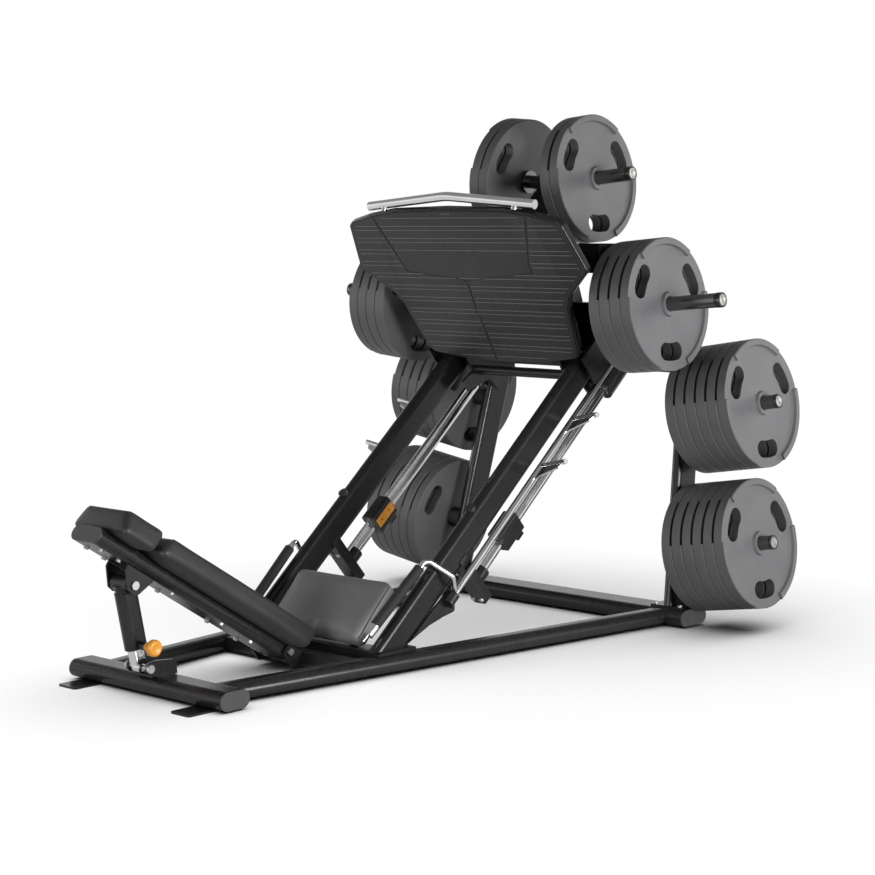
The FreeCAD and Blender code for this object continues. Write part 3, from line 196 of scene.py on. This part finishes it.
def leather_vinyl(name, dark, light):
    """Upholstery vinyl: pebbled grain, soft sheen and slight rubbing of colour."""
    material, nodes, links, shader = new_material(name)
    place = nodes.new("ShaderNodeTexCoord")
    cells = nodes.new("ShaderNodeTexVoronoi")
    cells.inputs["Scale"].default_value = 620
    links.new(place.outputs["Object"], cells.inputs["Vector"])
    fine = noise(nodes, links, 1400, 3)
    pebble = nodes.new("ShaderNodeMath")
    pebble.operation = "MULTIPLY_ADD"
    pebble.inputs[1].default_value = 0.7
    links.new(cells.outputs["Distance"], pebble.inputs[0])
    links.new(fine.outputs["Fac"], pebble.inputs[2])
    bump(nodes, links, shader, pebble.outputs["Value"], 0.22, VINYL_DEPTH)
    cloud = noise(nodes, links, 7, 4)
    links.new(colour_mix(nodes, links, cloud.outputs["Fac"], dark, light), shader.inputs["Base Color"])
    links.new(span(nodes, links, cells.outputs["Distance"], 0.42, 0.56), shader.inputs["Roughness"])
    shader.inputs["Specular IOR Level"].default_value = 0.45
    shader.inputs["Sheen Weight"].default_value = 0.08
    shader.inputs["Sheen Roughness"].default_value = 0.5
    return material


def plastic(name, dark, light, rough, grain=700, strength=0.15):
    material, nodes, links, shader = new_material(name)
    cloud = noise(nodes, links, 25, 3)
    links.new(colour_mix(nodes, links, cloud.outputs["Fac"], dark, light), shader.inputs["Base Color"])
    texture = noise(nodes, links, grain, 4)
    gloss = span(nodes, links, texture.outputs["Fac"], rough - 0.04, rough + 0.06)
    links.new(gloss, shader.inputs["Roughness"])
    bump(nodes, links, shader, texture.outputs["Fac"], strength, PLASTIC_DEPTH)
    return material


def foam(name):
    """Closed-cell grip foam: matt black with open pores, painted darker in their pits as shade."""
    material, nodes, links, shader = new_material(name)
    place = nodes.new("ShaderNodeTexCoord")
    pores = nodes.new("ShaderNodeTexVoronoi")
    pores.inputs["Scale"].default_value = 900
    links.new(place.outputs["Object"], pores.inputs["Vector"])
    bump(nodes, links, shader, pores.outputs["Distance"], 0.45, FOAM_DEPTH)
    # painted shade: the pores' pits are coloured darker than the foam around them
    tone = colour_mix(nodes, links, pores.outputs["Distance"], (0.007, 0.007, 0.008), (0.020, 0.020, 0.021))
    links.new(tone, shader.inputs["Base Color"])
    links.new(span(nodes, links, pores.outputs["Distance"], 0.6, 0.85), shader.inputs["Roughness"])
    return material


def plate_finish(name):
    """Dark grey rubber-coated plate: satin, with a faint moulded texture and scuffs."""
    material, nodes, links, shader = new_material(name)
    cloud = noise(nodes, links, 6, 4)
    tone = colour_mix(nodes, links, cloud.outputs["Fac"], (0.105, 0.107, 0.110), (0.132, 0.134, 0.137))
    links.new(tone, shader.inputs["Base Color"])
    scuff = noise(nodes, links, 55, 8, 0.7)
    links.new(span(nodes, links, scuff.outputs["Fac"], 0.38, 0.58), shader.inputs["Roughness"])
    grain = noise(nodes, links, 1100, 3)
    bump(nodes, links, shader, grain.outputs["Fac"], 0.16, PEEL_DEPTH)
    shader.inputs["Specular IOR Level"].default_value = 0.5
    return material


FRAME_BLACK = powder_coat("frame_black", (0.006, 0.006, 0.007), (0.010, 0.010, 0.011), 0.24)
FOOT_BLACK = powder_coat("footplate_black", (0.016, 0.016, 0.017), (0.024, 0.024, 0.025), 0.42, 1200, 0.2)
# painted highlight: the tread's ribs get a light grey coat for the light their edges catch
FOOT_RIB_LIT = powder_coat("footplate_rib_painted_highlight", (0.16, 0.16, 0.163), (0.20, 0.20, 0.203), 0.36, 1200, 0.15)
COVER_BLACK = plastic("cover_black", (0.010, 0.010, 0.011), (0.016, 0.016, 0.017), 0.30)
CAP_GREY = plastic("cap_grey", (0.045, 0.045, 0.047), (0.060, 0.060, 0.062), 0.42)
PLUG_BLACK = plastic("plug_black", (0.020, 0.020, 0.021), (0.035, 0.035, 0.036), 0.45)
CHROME = metal("chrome", (0.92, 0.925, 0.93), 0.10, 14.0, 0.0, 0.04)
ZINC = metal("zinc", (0.62, 0.63, 0.65), 0.24, 160.0, 0.06, 0.12)
HORN = metal("horn_steel", (0.20, 0.20, 0.205), 0.20, 60.0, 0.02, 0.08)
HORN_TIP = metal("horn_tip", (0.42, 0.40, 0.38), 0.34, 220.0, 0.06, 0.12)
FOAM = foam("foam")
ORANGE = plastic("orange", (0.88, 0.34, 0.025), (0.95, 0.42, 0.05), 0.30, 500, 0.08)
VINYL = leather_vinyl("vinyl", (0.018, 0.018, 0.019), (0.026, 0.026, 0.027))
# painted light: the seat gets a much lighter copy of the pads' black vinyl, for the light that falls on its
# face
VINYL_SEAT_LIT = leather_vinyl("vinyl_seat_painted_light", (0.26, 0.26, 0.265), (0.30, 0.30, 0.305))
THREAD = plastic("thread", (0.02, 0.02, 0.02), (0.04, 0.04, 0.04), 0.7, 300, 0.3)
PLATE = plate_finish("plate_rubber")

BY_SLOT = {
    "frame_black": FRAME_BLACK, "footplate_black": FOOT_BLACK, "cover_black": COVER_BLACK,
    "cap_grey": CAP_GREY, "plug_black": PLUG_BLACK, "chrome": CHROME, "zinc": ZINC,
    "horn_steel": HORN, "foam": FOAM, "orange": ORANGE, "vinyl": VINYL, "plate_rubber": PLATE,
}
for part in frame["record"]["subparts"]:
    node = NODES[part["node"]]
    node.data.materials.clear()
    node.data.materials.append(BY_SLOT[part["material_slot"]])
    for polygon in node.data.polygons:
        polygon.use_smooth = True

# CAD nodes whose edges catch the light get a fine rounded edge
SOFT_EDGE = {"painted_metal": 0.0014, "matte_plastic": 0.002, "gloss_plastic": 0.0012, "chrome": 0.0006,
             "brushed_steel": 0.0008, "rubber": 0.0014}
classes = {entry["slot"]: entry["class"] for entry in frame["record"]["materials"]}


BEVEL_FROM_DEGREES = 35


def soften(piece, width, segments=2):
    edge = piece.modifiers.new("soft_edge", "BEVEL")
    edge.width = width
    edge.segments = segments
    edge.limit_method = "ANGLE"
    edge.angle_limit = math.radians(BEVEL_FROM_DEGREES)
    edge.harden_normals = True


for part in frame["record"]["subparts"]:
    width = SOFT_EDGE.get(classes[part["material_slot"]])
    if width:
        soften(NODES[part["node"]], width)

# ---------------------------------------------------------------- mesh helpers


def finish_mesh(name, mesh, material, body, sharp=30):
    """Makes a piece from a mesh: smooth shading with sharp edges kept, its material and its body."""
    mesh.materials.append(material)
    for polygon in mesh.polygons:
        polygon.use_smooth = True
    mesh.set_sharp_from_angle(angle=math.radians(sharp))
    piece = bpy.data.objects.new(name, mesh)
    bpy.context.scene.collection.objects.link(piece)
    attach(piece, body)
    return piece


def basis(origin, x_dir, z_dir):
    """Placement with the given origin, local X and local Z."""
    z_dir = Vector(z_dir).normalized()
    x_dir = (Vector(x_dir) - z_dir * Vector(x_dir).dot(z_dir)).normalized()
    y_dir = z_dir.cross(x_dir)
    matrix = Matrix((x_dir, y_dir, z_dir)).transposed().to_4x4()
    matrix.translation = origin
    return matrix


def from_bmesh(name, bm):
    bmesh.ops.recalc_face_normals(bm, faces=bm.faces)
    mesh = bpy.data.meshes.new(name)
    bm.to_mesh(mesh)
    bm.free()
    return mesh


def lathe(bm, matrix, profile, segments=64):
    """Adds a closed body of revolution: profile is (radius, height) from one end of the axis to the other."""
    rings = []
    for radius, height in profile:
        if radius == 0:
            rings.append([bm.verts.new(matrix @ Vector((0, 0, height)))])
            continue
        ring = []
        for step in range(segments):
            angle = 2 * math.pi * step / segments
            point = Vector((radius * math.cos(angle), radius * math.sin(angle), height))
            ring.append(bm.verts.new(matrix @ point))
        rings.append(ring)
    for low, high in zip(rings, rings[1:]):
        for step in range(segments):
            after = (step + 1) % segments
            corners = [low[step % len(low)], low[after % len(low)],
                       high[after % len(high)], high[step % len(high)]]
            unique = list(dict.fromkeys(corners))
            if len(unique) > 2:
                bm.faces.new(unique)


def prism(bm, outline, low, high, matrix):
    """Adds a closed prism over an outline of (x, y) points, between two heights."""
    bottom = [bm.verts.new(matrix @ Vector((x, y, low))) for x, y in outline]
    top = [bm.verts.new(matrix @ Vector((x, y, high))) for x, y in outline]
    bm.faces.new(list(reversed(bottom)))
    bm.faces.new(top)
    for index in range(len(outline)):
        after = (index + 1) % len(outline)
        bm.faces.new((bottom[index], bottom[after], top[after], top[index]))


def cut_mesh(mesh, cutter):
    """One mesh cut out of another by an exact boolean, returned as a new mesh."""
    base = bpy.data.objects.new("cut_base", mesh)
    tool = bpy.data.objects.new("cut_tool", cutter)
    for each in (base, tool):
        bpy.context.scene.collection.objects.link(each)
    boolean = base.modifiers.new("cut", "BOOLEAN")
    boolean.operation = "DIFFERENCE"
    boolean.solver = "EXACT"
    boolean.object = tool
    bpy.context.view_layer.update()
    evaluated = base.evaluated_get(bpy.context.evaluated_depsgraph_get())
    result = bpy.data.meshes.new_from_object(evaluated)
    for each in (base, tool):
        bpy.data.objects.remove(each)
    return result


def round_corners(points, radius, steps=5):
    """Closed outline with each corner replaced by an arc."""
    outline = []
    count = len(points)
    for index in range(count):
        before, corner, after = (Vector(points[(index + k) % count]) for k in (-1, 0, 1))
        to_before, to_after = before - corner, after - corner
        turn = math.pi - to_before.angle(to_after)
        reach = min(radius * math.tan(turn / 2), 0.45 * to_before.length, 0.45 * to_after.length)
        first = corner + to_before.normalized() * reach
        last = corner + to_after.normalized() * reach
        for step in range(steps + 1):
            share = step / steps
            outline.append(tuple(first.lerp(corner, share).lerp(corner.lerp(last, share), share)))
    return outline


# ---------------------------------------------------------------- horn tips

# dark end ring and pale let-in disc, as (radius, height) from one end of the horn's axis to the other
RING_BORE = 0.0190
RING_TIP = [(0.0254, -0.0010), (0.0246, 0.0006), (0.0200, 0.0010), (RING_BORE, 0.0004)]
RING_RADIUS = 0.0252
DISC = [(0, 0.0001), (0.0188, 0.0001), (0.0186, 0.0006), (0.0128, 0.0006), (0.0120, 0.0002),
        (0.0108, 0.0007), (0, 0.0009)]
RING_LONG = {"carriage": 0.020, "frame": 0.008}
# outer plate face centre in station metres, tilt in degrees, reach of the horn past it
HORNS = {
    "storage_upper": ((0.7840, 2.1359, 0.7900), 9.16, 0.060, "frame"),
    "storage_lower": ((0.8372, 2.0510, 0.3138), 9.16, 0.050, "frame"),
    "carriage_middle": ((0.6477, 1.7642, 1.1385), 5.2, 0.210, "carriage"),
    "carriage_top": ((0.2070, 1.9358, 1.5691), 5.2, 0.150, "carriage"),
}


def horn_tips():
    """Dark end ring and a pale let-in disc on every horn."""
    for name, ((x, y, z), tilt, reach, body) in HORNS.items():
        rings = bmesh.new()
        discs = bmesh.new()
        long = RING_LONG[body]
        for side in (1, -1):
            outward = Vector((side * math.cos(math.radians(tilt)), 0, math.sin(math.radians(tilt))))
            place = basis(station(side * x, y, z) + outward * reach, (0, 1, 0), outward)
            lathe(rings, place, [(RING_BORE, -long), (RING_RADIUS, -long), *RING_TIP, (RING_BORE, -long)])
            lathe(discs, place, DISC)
        ring = finish_mesh(f"{name}_tip_rings", from_bmesh("rings", rings), COVER_BLACK, body)
        disc = finish_mesh(f"{name}_tip_discs", from_bmesh("discs", discs), HORN_TIP, body)


# ---------------------------------------------------------------- footplate

FOOT_THICK = 0.030
TREAD = 0.0035
FOOT_RIGHT = [(0, 0.066), (0.25, 0.059), (0.372, 0.040), (0.466, 0.016), (0.484, 0), (0.520, -0.177),
              (0.514, -0.187), (0.404, -0.282), (0.380, -0.330), (0.352, -0.500), (0.336, -0.532),
              (0.318, -0.540), (0.200, -0.558), (0, -0.570)]
# ribs in pairs down the tread, in metres
RIB_PITCH = 0.0492
RIB_OFFSET = 0.0165
RIB_HALF = 0.00115
RIB_GAP = 0.007
RIB_SHORTEST = 0.03
# plain band of the middle panel: where it starts and ends, and its half width where no line bounds it
PLAIN_FROM = 0.105
PLAIN_TO = 0.212
PLAIN_HALF = 0.283
# lines pressed into the tread, as (x, up) points with a width each
TREAD_LINES = [
    ([(-0.345, 0.040), (-0.345, 0.025), (-0.289, -0.190)], 0.0065),
    ([(0.345, 0.040), (0.345, 0.025), (0.285, -0.150), (0.283, -0.188)], 0.0065),
    ([(-0.289, -0.188), (-0.060, -0.214), (-0.034, -0.223), (0, -0.219), (0.283, -0.186)], 0.0032),
    ([(-0.036, -0.222), (-0.026, -0.232), (-0.035, -0.336), (-0.040, -0.350)], 0.0065),
    ([(-0.040, -0.348), (-0.034, -0.366), (-0.038, -0.560)], 0.0065),
]


def outline_span(outline, height):
    """Lowest and highest x where a level line crosses an outline."""
    crossings = []
    for index in range(len(outline)):
        (x0, y0), (x1, y1) = outline[index], outline[(index + 1) % len(outline)]
        if (y0 - height) * (y1 - height) < 0:
            crossings.append(x0 + (x1 - x0) * (height - y0) / (y1 - y0))
    return min(crossings), max(crossings)


def inset(outline, distance):
    """Outline moved inwards by a distance; the outline runs clockwise from the top centre."""
    moved = []
    count = len(outline)
    for index in range(count):
        before, here, after = (Vector(outline[(index + k) % count]) for k in (-1, 0, 1))
        first = (here - before).normalized()
        last = (after - here).normalized()
        normal = Vector((first.y + last.y, -first.x - last.x)).normalized()
        share = max(normal.dot(Vector((first.y, -first.x))), 0.5)
        moved.append(tuple(here + normal * distance / share))
    return moved


def footplate():
    full = FOOT_RIGHT + [(-x, y) for x, y in reversed(FOOT_RIGHT[1:-1])]
    outline = round_corners(full, 0.020)
    place = basis(foot_point(0, 0, -FOOT_THICK), X, FOOT_FRONT)
    slab = bmesh.new()
    prism(slab, outline, 0, FOOT_THICK - TREAD, place)
    base = finish_mesh("footplate_slab", from_bmesh("footplate_slab", slab), FRAME_BLACK, "carriage")
    soften(base, 0.004, 3)
    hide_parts("footplate")

    border = round_corners(inset(full, 0.0055), 0.018)
    layer = bmesh.new()
    prism(layer, border, FOOT_THICK - TREAD - 0.001, FOOT_THICK - 0.0012, Matrix.Identity(4))
    cutters = bmesh.new()
    for points, wide in TREAD_LINES:
        for first, last in zip(points, points[1:]):
            first, last = Vector(first), Vector(last)
            along = (last - first).normalized()
            across = Vector((-along.y, along.x)) * wide / 2
            reach = along * wide * 0.4
            corners = [first - reach - across, last + reach - across,
                       last + reach + across, first - reach + across]
            prism(cutters, [tuple(c) for c in corners], FOOT_THICK - TREAD + 0.0004, FOOT_THICK + 0.01,
                  Matrix.Identity(4))
    tread = from_bmesh("tread", layer)
    for piece in split_prisms(cutters):
        tread = cut_mesh(tread, piece)
    tread.transform(place)
    tread_piece = finish_mesh("footplate_tread", tread, FOOT_BLACK, "carriage")
    soften(tread_piece, 0.0012, 2)

    ribs = bmesh.new()
    inner = inset(full, 0.016)
    for row in range(-2, 12):
        for start in (0, RIB_OFFSET):
            down = row * RIB_PITCH + start
            if not -0.052 < down < 0.552:
                continue
            low, high = outline_span(inner, -down)
            gaps = [crossing for points, _ in TREAD_LINES for crossing in line_crossings(points, -down)]
            if PLAIN_FROM < down < PLAIN_TO:
                left = [x for x in gaps if x < -0.1]
                right = [x for x in gaps if x > 0.1]
                spans = [(low, min(left, default=-PLAIN_HALF)), (max(right, default=PLAIN_HALF), high)]
            else:
                edges = [low, *sorted(gaps), high]
                spans = list(zip(edges, edges[1:]))
            for first, last in spans:
                first += RIB_GAP
                last -= RIB_GAP
                if last - first < RIB_SHORTEST:
                    continue
                under, over = -down - RIB_HALF, -down + RIB_HALF
                prism(ribs, [(first, under), (last, under), (last, over), (first, over)],
                      FOOT_THICK - 0.0014, FOOT_THICK - 0.0002, place)
    # the ribs carry the light grey painted-highlight coat
    ribs_piece = finish_mesh("footplate_ribs", from_bmesh("ribs", ribs), FOOT_RIB_LIT, "carriage")
    soften(ribs_piece, 0.0005, 2)


def line_crossings(points, height):
    found = []
    for (x0, y0), (x1, y1) in zip(points, points[1:]):
        if (y0 - height) * (y1 - height) <= 0 and abs(y1 - y0) > 0.02:
            found.append(x0 + (x1 - x0) * (height - y0) / (y1 - y0))
    return found


def split_prisms(bm):
    """Each closed prism of a bmesh as a mesh of its own, so that overlapping cutters cut cleanly."""
    meshes = []
    bm.verts.ensure_lookup_table()
    for start in range(0, len(bm.verts), 8):
        part = bmesh.new()
        corners = [part.verts.new(v.co) for v in bm.verts[start:start + 8]]
        low, high = corners[:4], corners[4:]
        part.faces.new(list(reversed(low)))
        part.faces.new(high)
        for index in range(4):
            after = (index + 1) % 4
            part.faces.new((low[index], low[after], high[after], high[index]))
        meshes.append(from_bmesh("cutter", part))
    bm.free()
    return meshes


# ---------------------------------------------------------------- knob


def knob():
    low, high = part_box("pop_pin_knob")
    centre = (low + high) / 2
    place = basis(Vector((low.x, centre.y, centre.z)), (0, 1, 0), X)
    long = high.x - low.x
    wide = (high.y - low.y) / 2
    bm = bmesh.new()
    lathe(bm, place, [(0, 0), (0.0055, 0), (0.0055, long * 0.45), (0.013, long * 0.5), (0.014, long * 0.62),
                      (wide * 0.72, long * 0.70), (wide * 0.96, long * 0.78), (wide, long * 0.86),
                      (wide * 0.95, long * 0.94), (wide * 0.82, long * 0.985), (wide * 0.66, long),
                      (wide * 0.5, long * 0.985), (wide * 0.25, long * 0.965), (0, long * 0.96)], 56)
    piece = finish_mesh("pull_knob", from_bmesh("pull_knob", bm), ORANGE, "pull_knob", 40)
    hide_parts("pop_pin_knob")


# ---------------------------------------------------------------- cushions


VOXEL = 0.005
SHRINK = 0.001
MOST_TRAVEL = 0.006
CLOTH_FRAMES = 20
COVER_SMOOTHING = 8
MOST_PROUD = 0.004


def cushion(name, node, body, material):
    """Padded vinyl piece: the node's solid, a little smaller, blown up by pressure under its cover."""
    source = NODES[node].data
    mesh = source.copy()
    mesh.materials.clear()
    piece = bpy.data.objects.new(name, mesh)
    bpy.context.scene.collection.objects.link(piece)
    low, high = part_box(node)
    bpy.context.view_layer.objects.active = piece
    remesh = piece.modifiers.new("remesh", "REMESH")
    remesh.mode = "VOXEL"
    remesh.voxel_size = VOXEL
    apply_modifiers(piece)
    bm = bmesh.new()
    bm.from_mesh(piece.data)
    bmesh.ops.recalc_face_normals(bm, faces=bm.faces)
    bm.normal_update()
    for vertex in bm.verts:
        vertex.co -= vertex.normal * SHRINK
    smooth_all(bm, 3)
    bm.to_mesh(piece.data)
    bm.free()
    rest = [vertex.co.copy() for vertex in piece.data.vertices]
    inflate(piece, rest)
    subdivide = piece.modifiers.new("subdivide", "SUBSURF")
    subdivide.levels = 1
    subdivide.render_levels = 1
    apply_modifiers(piece)
    keep_inside(piece, low, high)
    piece.data.materials.append(material)
    for polygon in piece.data.polygons:
        polygon.use_smooth = True
    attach(piece, body)
    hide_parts(node)
    return piece


def smooth_all(bm, rounds):
    for _ in range(rounds):
        bmesh.ops.smooth_vert(bm, verts=bm.verts, factor=0.5, use_axis_x=True, use_axis_y=True, use_axis_z=True)


def apply_modifiers(piece):
    evaluated = piece.evaluated_get(bpy.context.evaluated_depsgraph_get())
    mesh = bpy.data.meshes.new_from_object(evaluated)
    piece.modifiers.clear()
    piece.data = mesh


def inflate(piece, rest):
    """Blows the cover up as cloth, limits how far each point moves and smooths the result."""
    cloth = piece.modifiers.new("cloth", "CLOTH")
    settings = cloth.settings
    settings.quality = 5
    settings.mass = 0.5
    settings.tension_stiffness = 80
    settings.compression_stiffness = 80
    settings.shear_stiffness = 60
    settings.bending_stiffness = 30
    settings.use_pressure = True
    settings.uniform_pressure_force = 4
    settings.effector_weights.gravity = 0
    cloth.collision_settings.use_collision = False
    scene = bpy.context.scene
    scene.frame_start = 1
    scene.frame_end = CLOTH_FRAMES
    for number in range(1, CLOTH_FRAMES + 1):
        scene.frame_set(number)
    apply_modifiers(piece)
    scene.frame_set(1)
    for vertex, start in zip(piece.data.vertices, rest):
        moved = vertex.co - start
        if moved.length > MOST_TRAVEL:
            vertex.co = start + moved.normalized() * MOST_TRAVEL
    bm = bmesh.new()
    bm.from_mesh(piece.data)
    smooth_all(bm, COVER_SMOOTHING)
    bm.to_mesh(piece.data)
    bm.free()


def keep_inside(piece, low, high):
    """Limits the blown-up cover to a little outside the box of the solid it stands for."""
    for vertex in piece.data.vertices:
        for axis in range(3):
            vertex.co[axis] = min(max(vertex.co[axis], low[axis] - MOST_PROUD), high[axis] + MOST_PROUD)


SEAM_RADIUS = 0.0015
SEAM_SINK = 0.0004
SEAM_STEP = 0.006
SEAM_SIDES = 8


def seam(name, pad, points, body):
    """Stitched welt that follows a cushion's surface between guide points."""
    guide = [Vector(point) for point in points]
    path = []
    for first, last in zip(guide, guide[1:]):
        steps = max(int((last - first).length / SEAM_STEP), 1)
        for step in range(steps):
            target = first.lerp(last, step / steps)
            found, place, normal, _ = pad.closest_point_on_mesh(target)
            path.append(place + normal * (SEAM_RADIUS - SEAM_SINK) if found else target)
    path = smooth_path(path)
    bm = bmesh.new()
    rings = []
    for index, point in enumerate(path):
        before = path[max(index - 1, 0)]
        after = path[min(index + 1, len(path) - 1)]
        place = basis(point, (1, 0.03, 0.02), after - before)
        turns = [2 * math.pi * k / SEAM_SIDES for k in range(SEAM_SIDES)]
        circle = [Vector((SEAM_RADIUS * math.cos(turn), SEAM_RADIUS * math.sin(turn), 0)) for turn in turns]
        rings.append([bm.verts.new(place @ point) for point in circle])
    for first, last in zip(rings, rings[1:]):
        for k in range(SEAM_SIDES):
            after = (k + 1) % SEAM_SIDES
            bm.faces.new((first[k], first[after], last[after], last[k]))
    bm.faces.new(list(reversed(rings[0])))
    bm.faces.new(rings[-1])
    piece = finish_mesh(name, from_bmesh(name, bm), THREAD, body)


def smooth_path(path, rounds=6):
    for _ in range(rounds):
        middle = [(path[k - 1] + path[k] * 2 + path[k + 1]) / 4 for k in range(1, len(path) - 1)]
        path = [path[0]] + middle + [path[-1]]
    return path


horn_tips()
footplate()
knob()
back = cushion("back_cushion", "back_pad", "backrest", VINYL)
headrest = cushion("headrest_cushion", "headrest_pad", "backrest", VINYL)
# the seat wears the lighter, painted-light copy of the vinyl
seat = cushion("seat_cushion", "seat_pad", "frame", VINYL_SEAT_LIT)
for side_name, side in (("right", 1), ("left", -1)):
    for inner, edge in (("outer", 0.0), ("inner", 0.013)):
        seam(f"back_seam_{inner}_{side_name}", back,
             [back_point(side * (0.108 - edge), 0.200, 0.074), back_point(side * (0.101 - edge), 0.550, 0.074),
              back_point(side * (0.094 - edge), 0.880, 0.074)], "backrest")
    seam(f"seat_seam_{side_name}", seat,
         [seat_point(side * 0.200, 0.016, -0.020), seat_point(side * 0.200, 0.225, -0.020)], "frame")
    seam(f"headrest_seam_{side_name}", headrest,
         [back_point(side * 0.092, 0.012, 0.076), back_point(side * 0.092, 0.166, 0.076)], "backrest")

# ---------------------------------------------------------------- camera, light and floor

CAMERA_AZIMUTH = math.radians(42.16)
CAMERA_ELEVATION = math.radians(5.88)
toward_camera = Vector((math.sin(CAMERA_AZIMUTH) * math.cos(CAMERA_ELEVATION),
                        -math.cos(CAMERA_AZIMUTH) * math.cos(CAMERA_ELEVATION),
                        math.sin(CAMERA_ELEVATION)))
camera_data = bpy.data.cameras.new("camera")
camera_data.lens = 82.93
camera_data.sensor_width = 36
camera = bpy.data.objects.new("camera", camera_data)
camera.location = station(4.61687, -3.78543, 1.38579)
camera.rotation_mode = "QUATERNION"
camera.rotation_quaternion = (-toward_camera).to_track_quat("-Z", "Y")
bpy.context.scene.collection.objects.link(camera)
bpy.context.scene.camera = camera


def area_light(name, place, target, size, power, size_y):
    data = bpy.data.lights.new(name, "AREA")
    data.shape = "RECTANGLE"
    data.size = size
    data.size_y = size_y
    data.energy = power
    light = bpy.data.objects.new(name, data)
    light.location = place
    light.rotation_euler = (Vector(target) - Vector(place)).to_track_quat("-Z", "Y").to_euler()
    bpy.context.scene.collection.objects.link(light)
    return light


# softboxes at about the machine's own height on all four sides, so that top faces stay dark
key = area_light("key", (4.8, 0.2, 0.9), (0, 0.3, 0.85), 2.6, 230, 1.4)
front = area_light("front", (0.4, -5.2, 0.9), (0, 0, 0.8), 2.6, 85, 1.2)
rear = area_light("rear", (1.6, 5.0, 1.8), (0, 0.4, 0.9), 2.0, 40, 2.0)
left = area_light("left", (-4.6, -1.4, 1.4), (0, 0, 0.7), 2.0, 45, 2.0)

floor_mesh = bpy.data.meshes.new("floor")
FLOOR_HALF = 60
floor_mesh.from_pydata([(-FLOOR_HALF, -FLOOR_HALF, 0), (FLOOR_HALF, -FLOOR_HALF, 0),
                        (FLOOR_HALF, FLOOR_HALF, 0), (-FLOOR_HALF, FLOOR_HALF, 0)], [], [(0, 1, 2, 3)])
floor = bpy.data.objects.new("floor", floor_mesh)
bpy.context.scene.collection.objects.link(floor)
floor_material, floor_nodes, floor_links, floor_shader = new_material("floor_white")
floor_shader.inputs["Roughness"].default_value = 0.9
floor_shader.inputs["Specular IOR Level"].default_value = 0.1
# the floor looks white but throws little light back up at the machine
FLOOR_SEEN = 0.90
FLOOR_THROWN = 0.14
FLOOR_MIRRORED = 0.55
floor_ray = floor_nodes.new("ShaderNodeLightPath")
floor_seen = floor_nodes.new("ShaderNodeMapRange")
floor_seen.inputs["To Min"].default_value = FLOOR_THROWN
floor_seen.inputs["To Max"].default_value = FLOOR_SEEN
floor_links.new(floor_ray.outputs["Is Camera Ray"], floor_seen.inputs["Value"])
floor_mirrored = floor_nodes.new("ShaderNodeMath")
floor_mirrored.operation = "MULTIPLY"
floor_mirrored.inputs[1].default_value = FLOOR_MIRRORED
floor_links.new(floor_ray.outputs["Is Glossy Ray"], floor_mirrored.inputs[0])
floor_tone = floor_nodes.new("ShaderNodeMath")
floor_tone.operation = "MAXIMUM"
floor_links.new(floor_seen.outputs["Result"], floor_tone.inputs[0])
floor_links.new(floor_mirrored.outputs["Value"], floor_tone.inputs[1])
floor_links.new(floor_tone.outputs["Value"], floor_shader.inputs["Base Color"])
floor_mesh.materials.append(floor_material)

# a broad overhead sun that lights the floor alone, for a white sweep with soft contact shadows
floor_only = bpy.data.collections.new("floor_only")
floor_only.objects.link(floor)
sweep_data = bpy.data.lights.new("sweep", "SUN")
sweep_data.energy = 3.5
sweep_data.angle = math.radians(100)
sweep = bpy.data.objects.new("sweep", sweep_data)
sweep.location = (0, 0, 5)
bpy.context.scene.collection.objects.link(sweep)
sweep.light_linking.receiver_collection = floor_only
not_floor = bpy.data.collections.new("all_but_floor")
not_floor.objects.link(floor)
not_floor.collection_objects[0].light_linking.link_state = "EXCLUDE"
for lamp in (key, front, rear, left):
    lamp.light_linking.receiver_collection = not_floor

world = bpy.data.worlds.new("studio")
world.use_nodes = True
world_nodes = world.node_tree.nodes
world_links = world.node_tree.links
seen = world_nodes["Background"]
seen.inputs["Color"].default_value = (1, 1, 1, 1)
ray = world_nodes.new("ShaderNodeLightPath")
# reflections see a bright horizon under a dark ceiling
HORIZON = 0.95
CEILING = 0.24
FILL = 0.035
where = world_nodes.new("ShaderNodeTexCoord")
height = world_nodes.new("ShaderNodeSeparateXYZ")
ceiling = world_nodes.new("ShaderNodeMapRange")
ceiling.interpolation_type = "SMOOTHSTEP"
ceiling.inputs["From Min"].default_value = 0.05
ceiling.inputs["From Max"].default_value = 0.6
ceiling.inputs["To Min"].default_value = HORIZON
ceiling.inputs["To Max"].default_value = CEILING
world_links.new(where.outputs["Generated"], height.inputs["Vector"])
world_links.new(height.outputs["Z"], ceiling.inputs["Value"])
reflected = world_nodes.new("ShaderNodeMath")
reflected.operation = "MULTIPLY"
world_links.new(ceiling.outputs["Result"], reflected.inputs[1])
world_links.new(ray.outputs["Is Glossy Ray"], reflected.inputs[0])
strength = world_nodes.new("ShaderNodeMath")
strength.operation = "MAXIMUM"
world_links.new(ray.outputs["Is Camera Ray"], strength.inputs[0])
world_links.new(reflected.outputs["Value"], strength.inputs[1])
lowest = world_nodes.new("ShaderNodeMath")
lowest.operation = "MAXIMUM"
lowest.inputs[1].default_value = FILL
world_links.new(strength.outputs["Value"], lowest.inputs[0])
world_links.new(lowest.outputs["Value"], seen.inputs["Strength"])
bpy.context.scene.world = world
bpy.context.scene.view_settings.view_transform = "Standard"
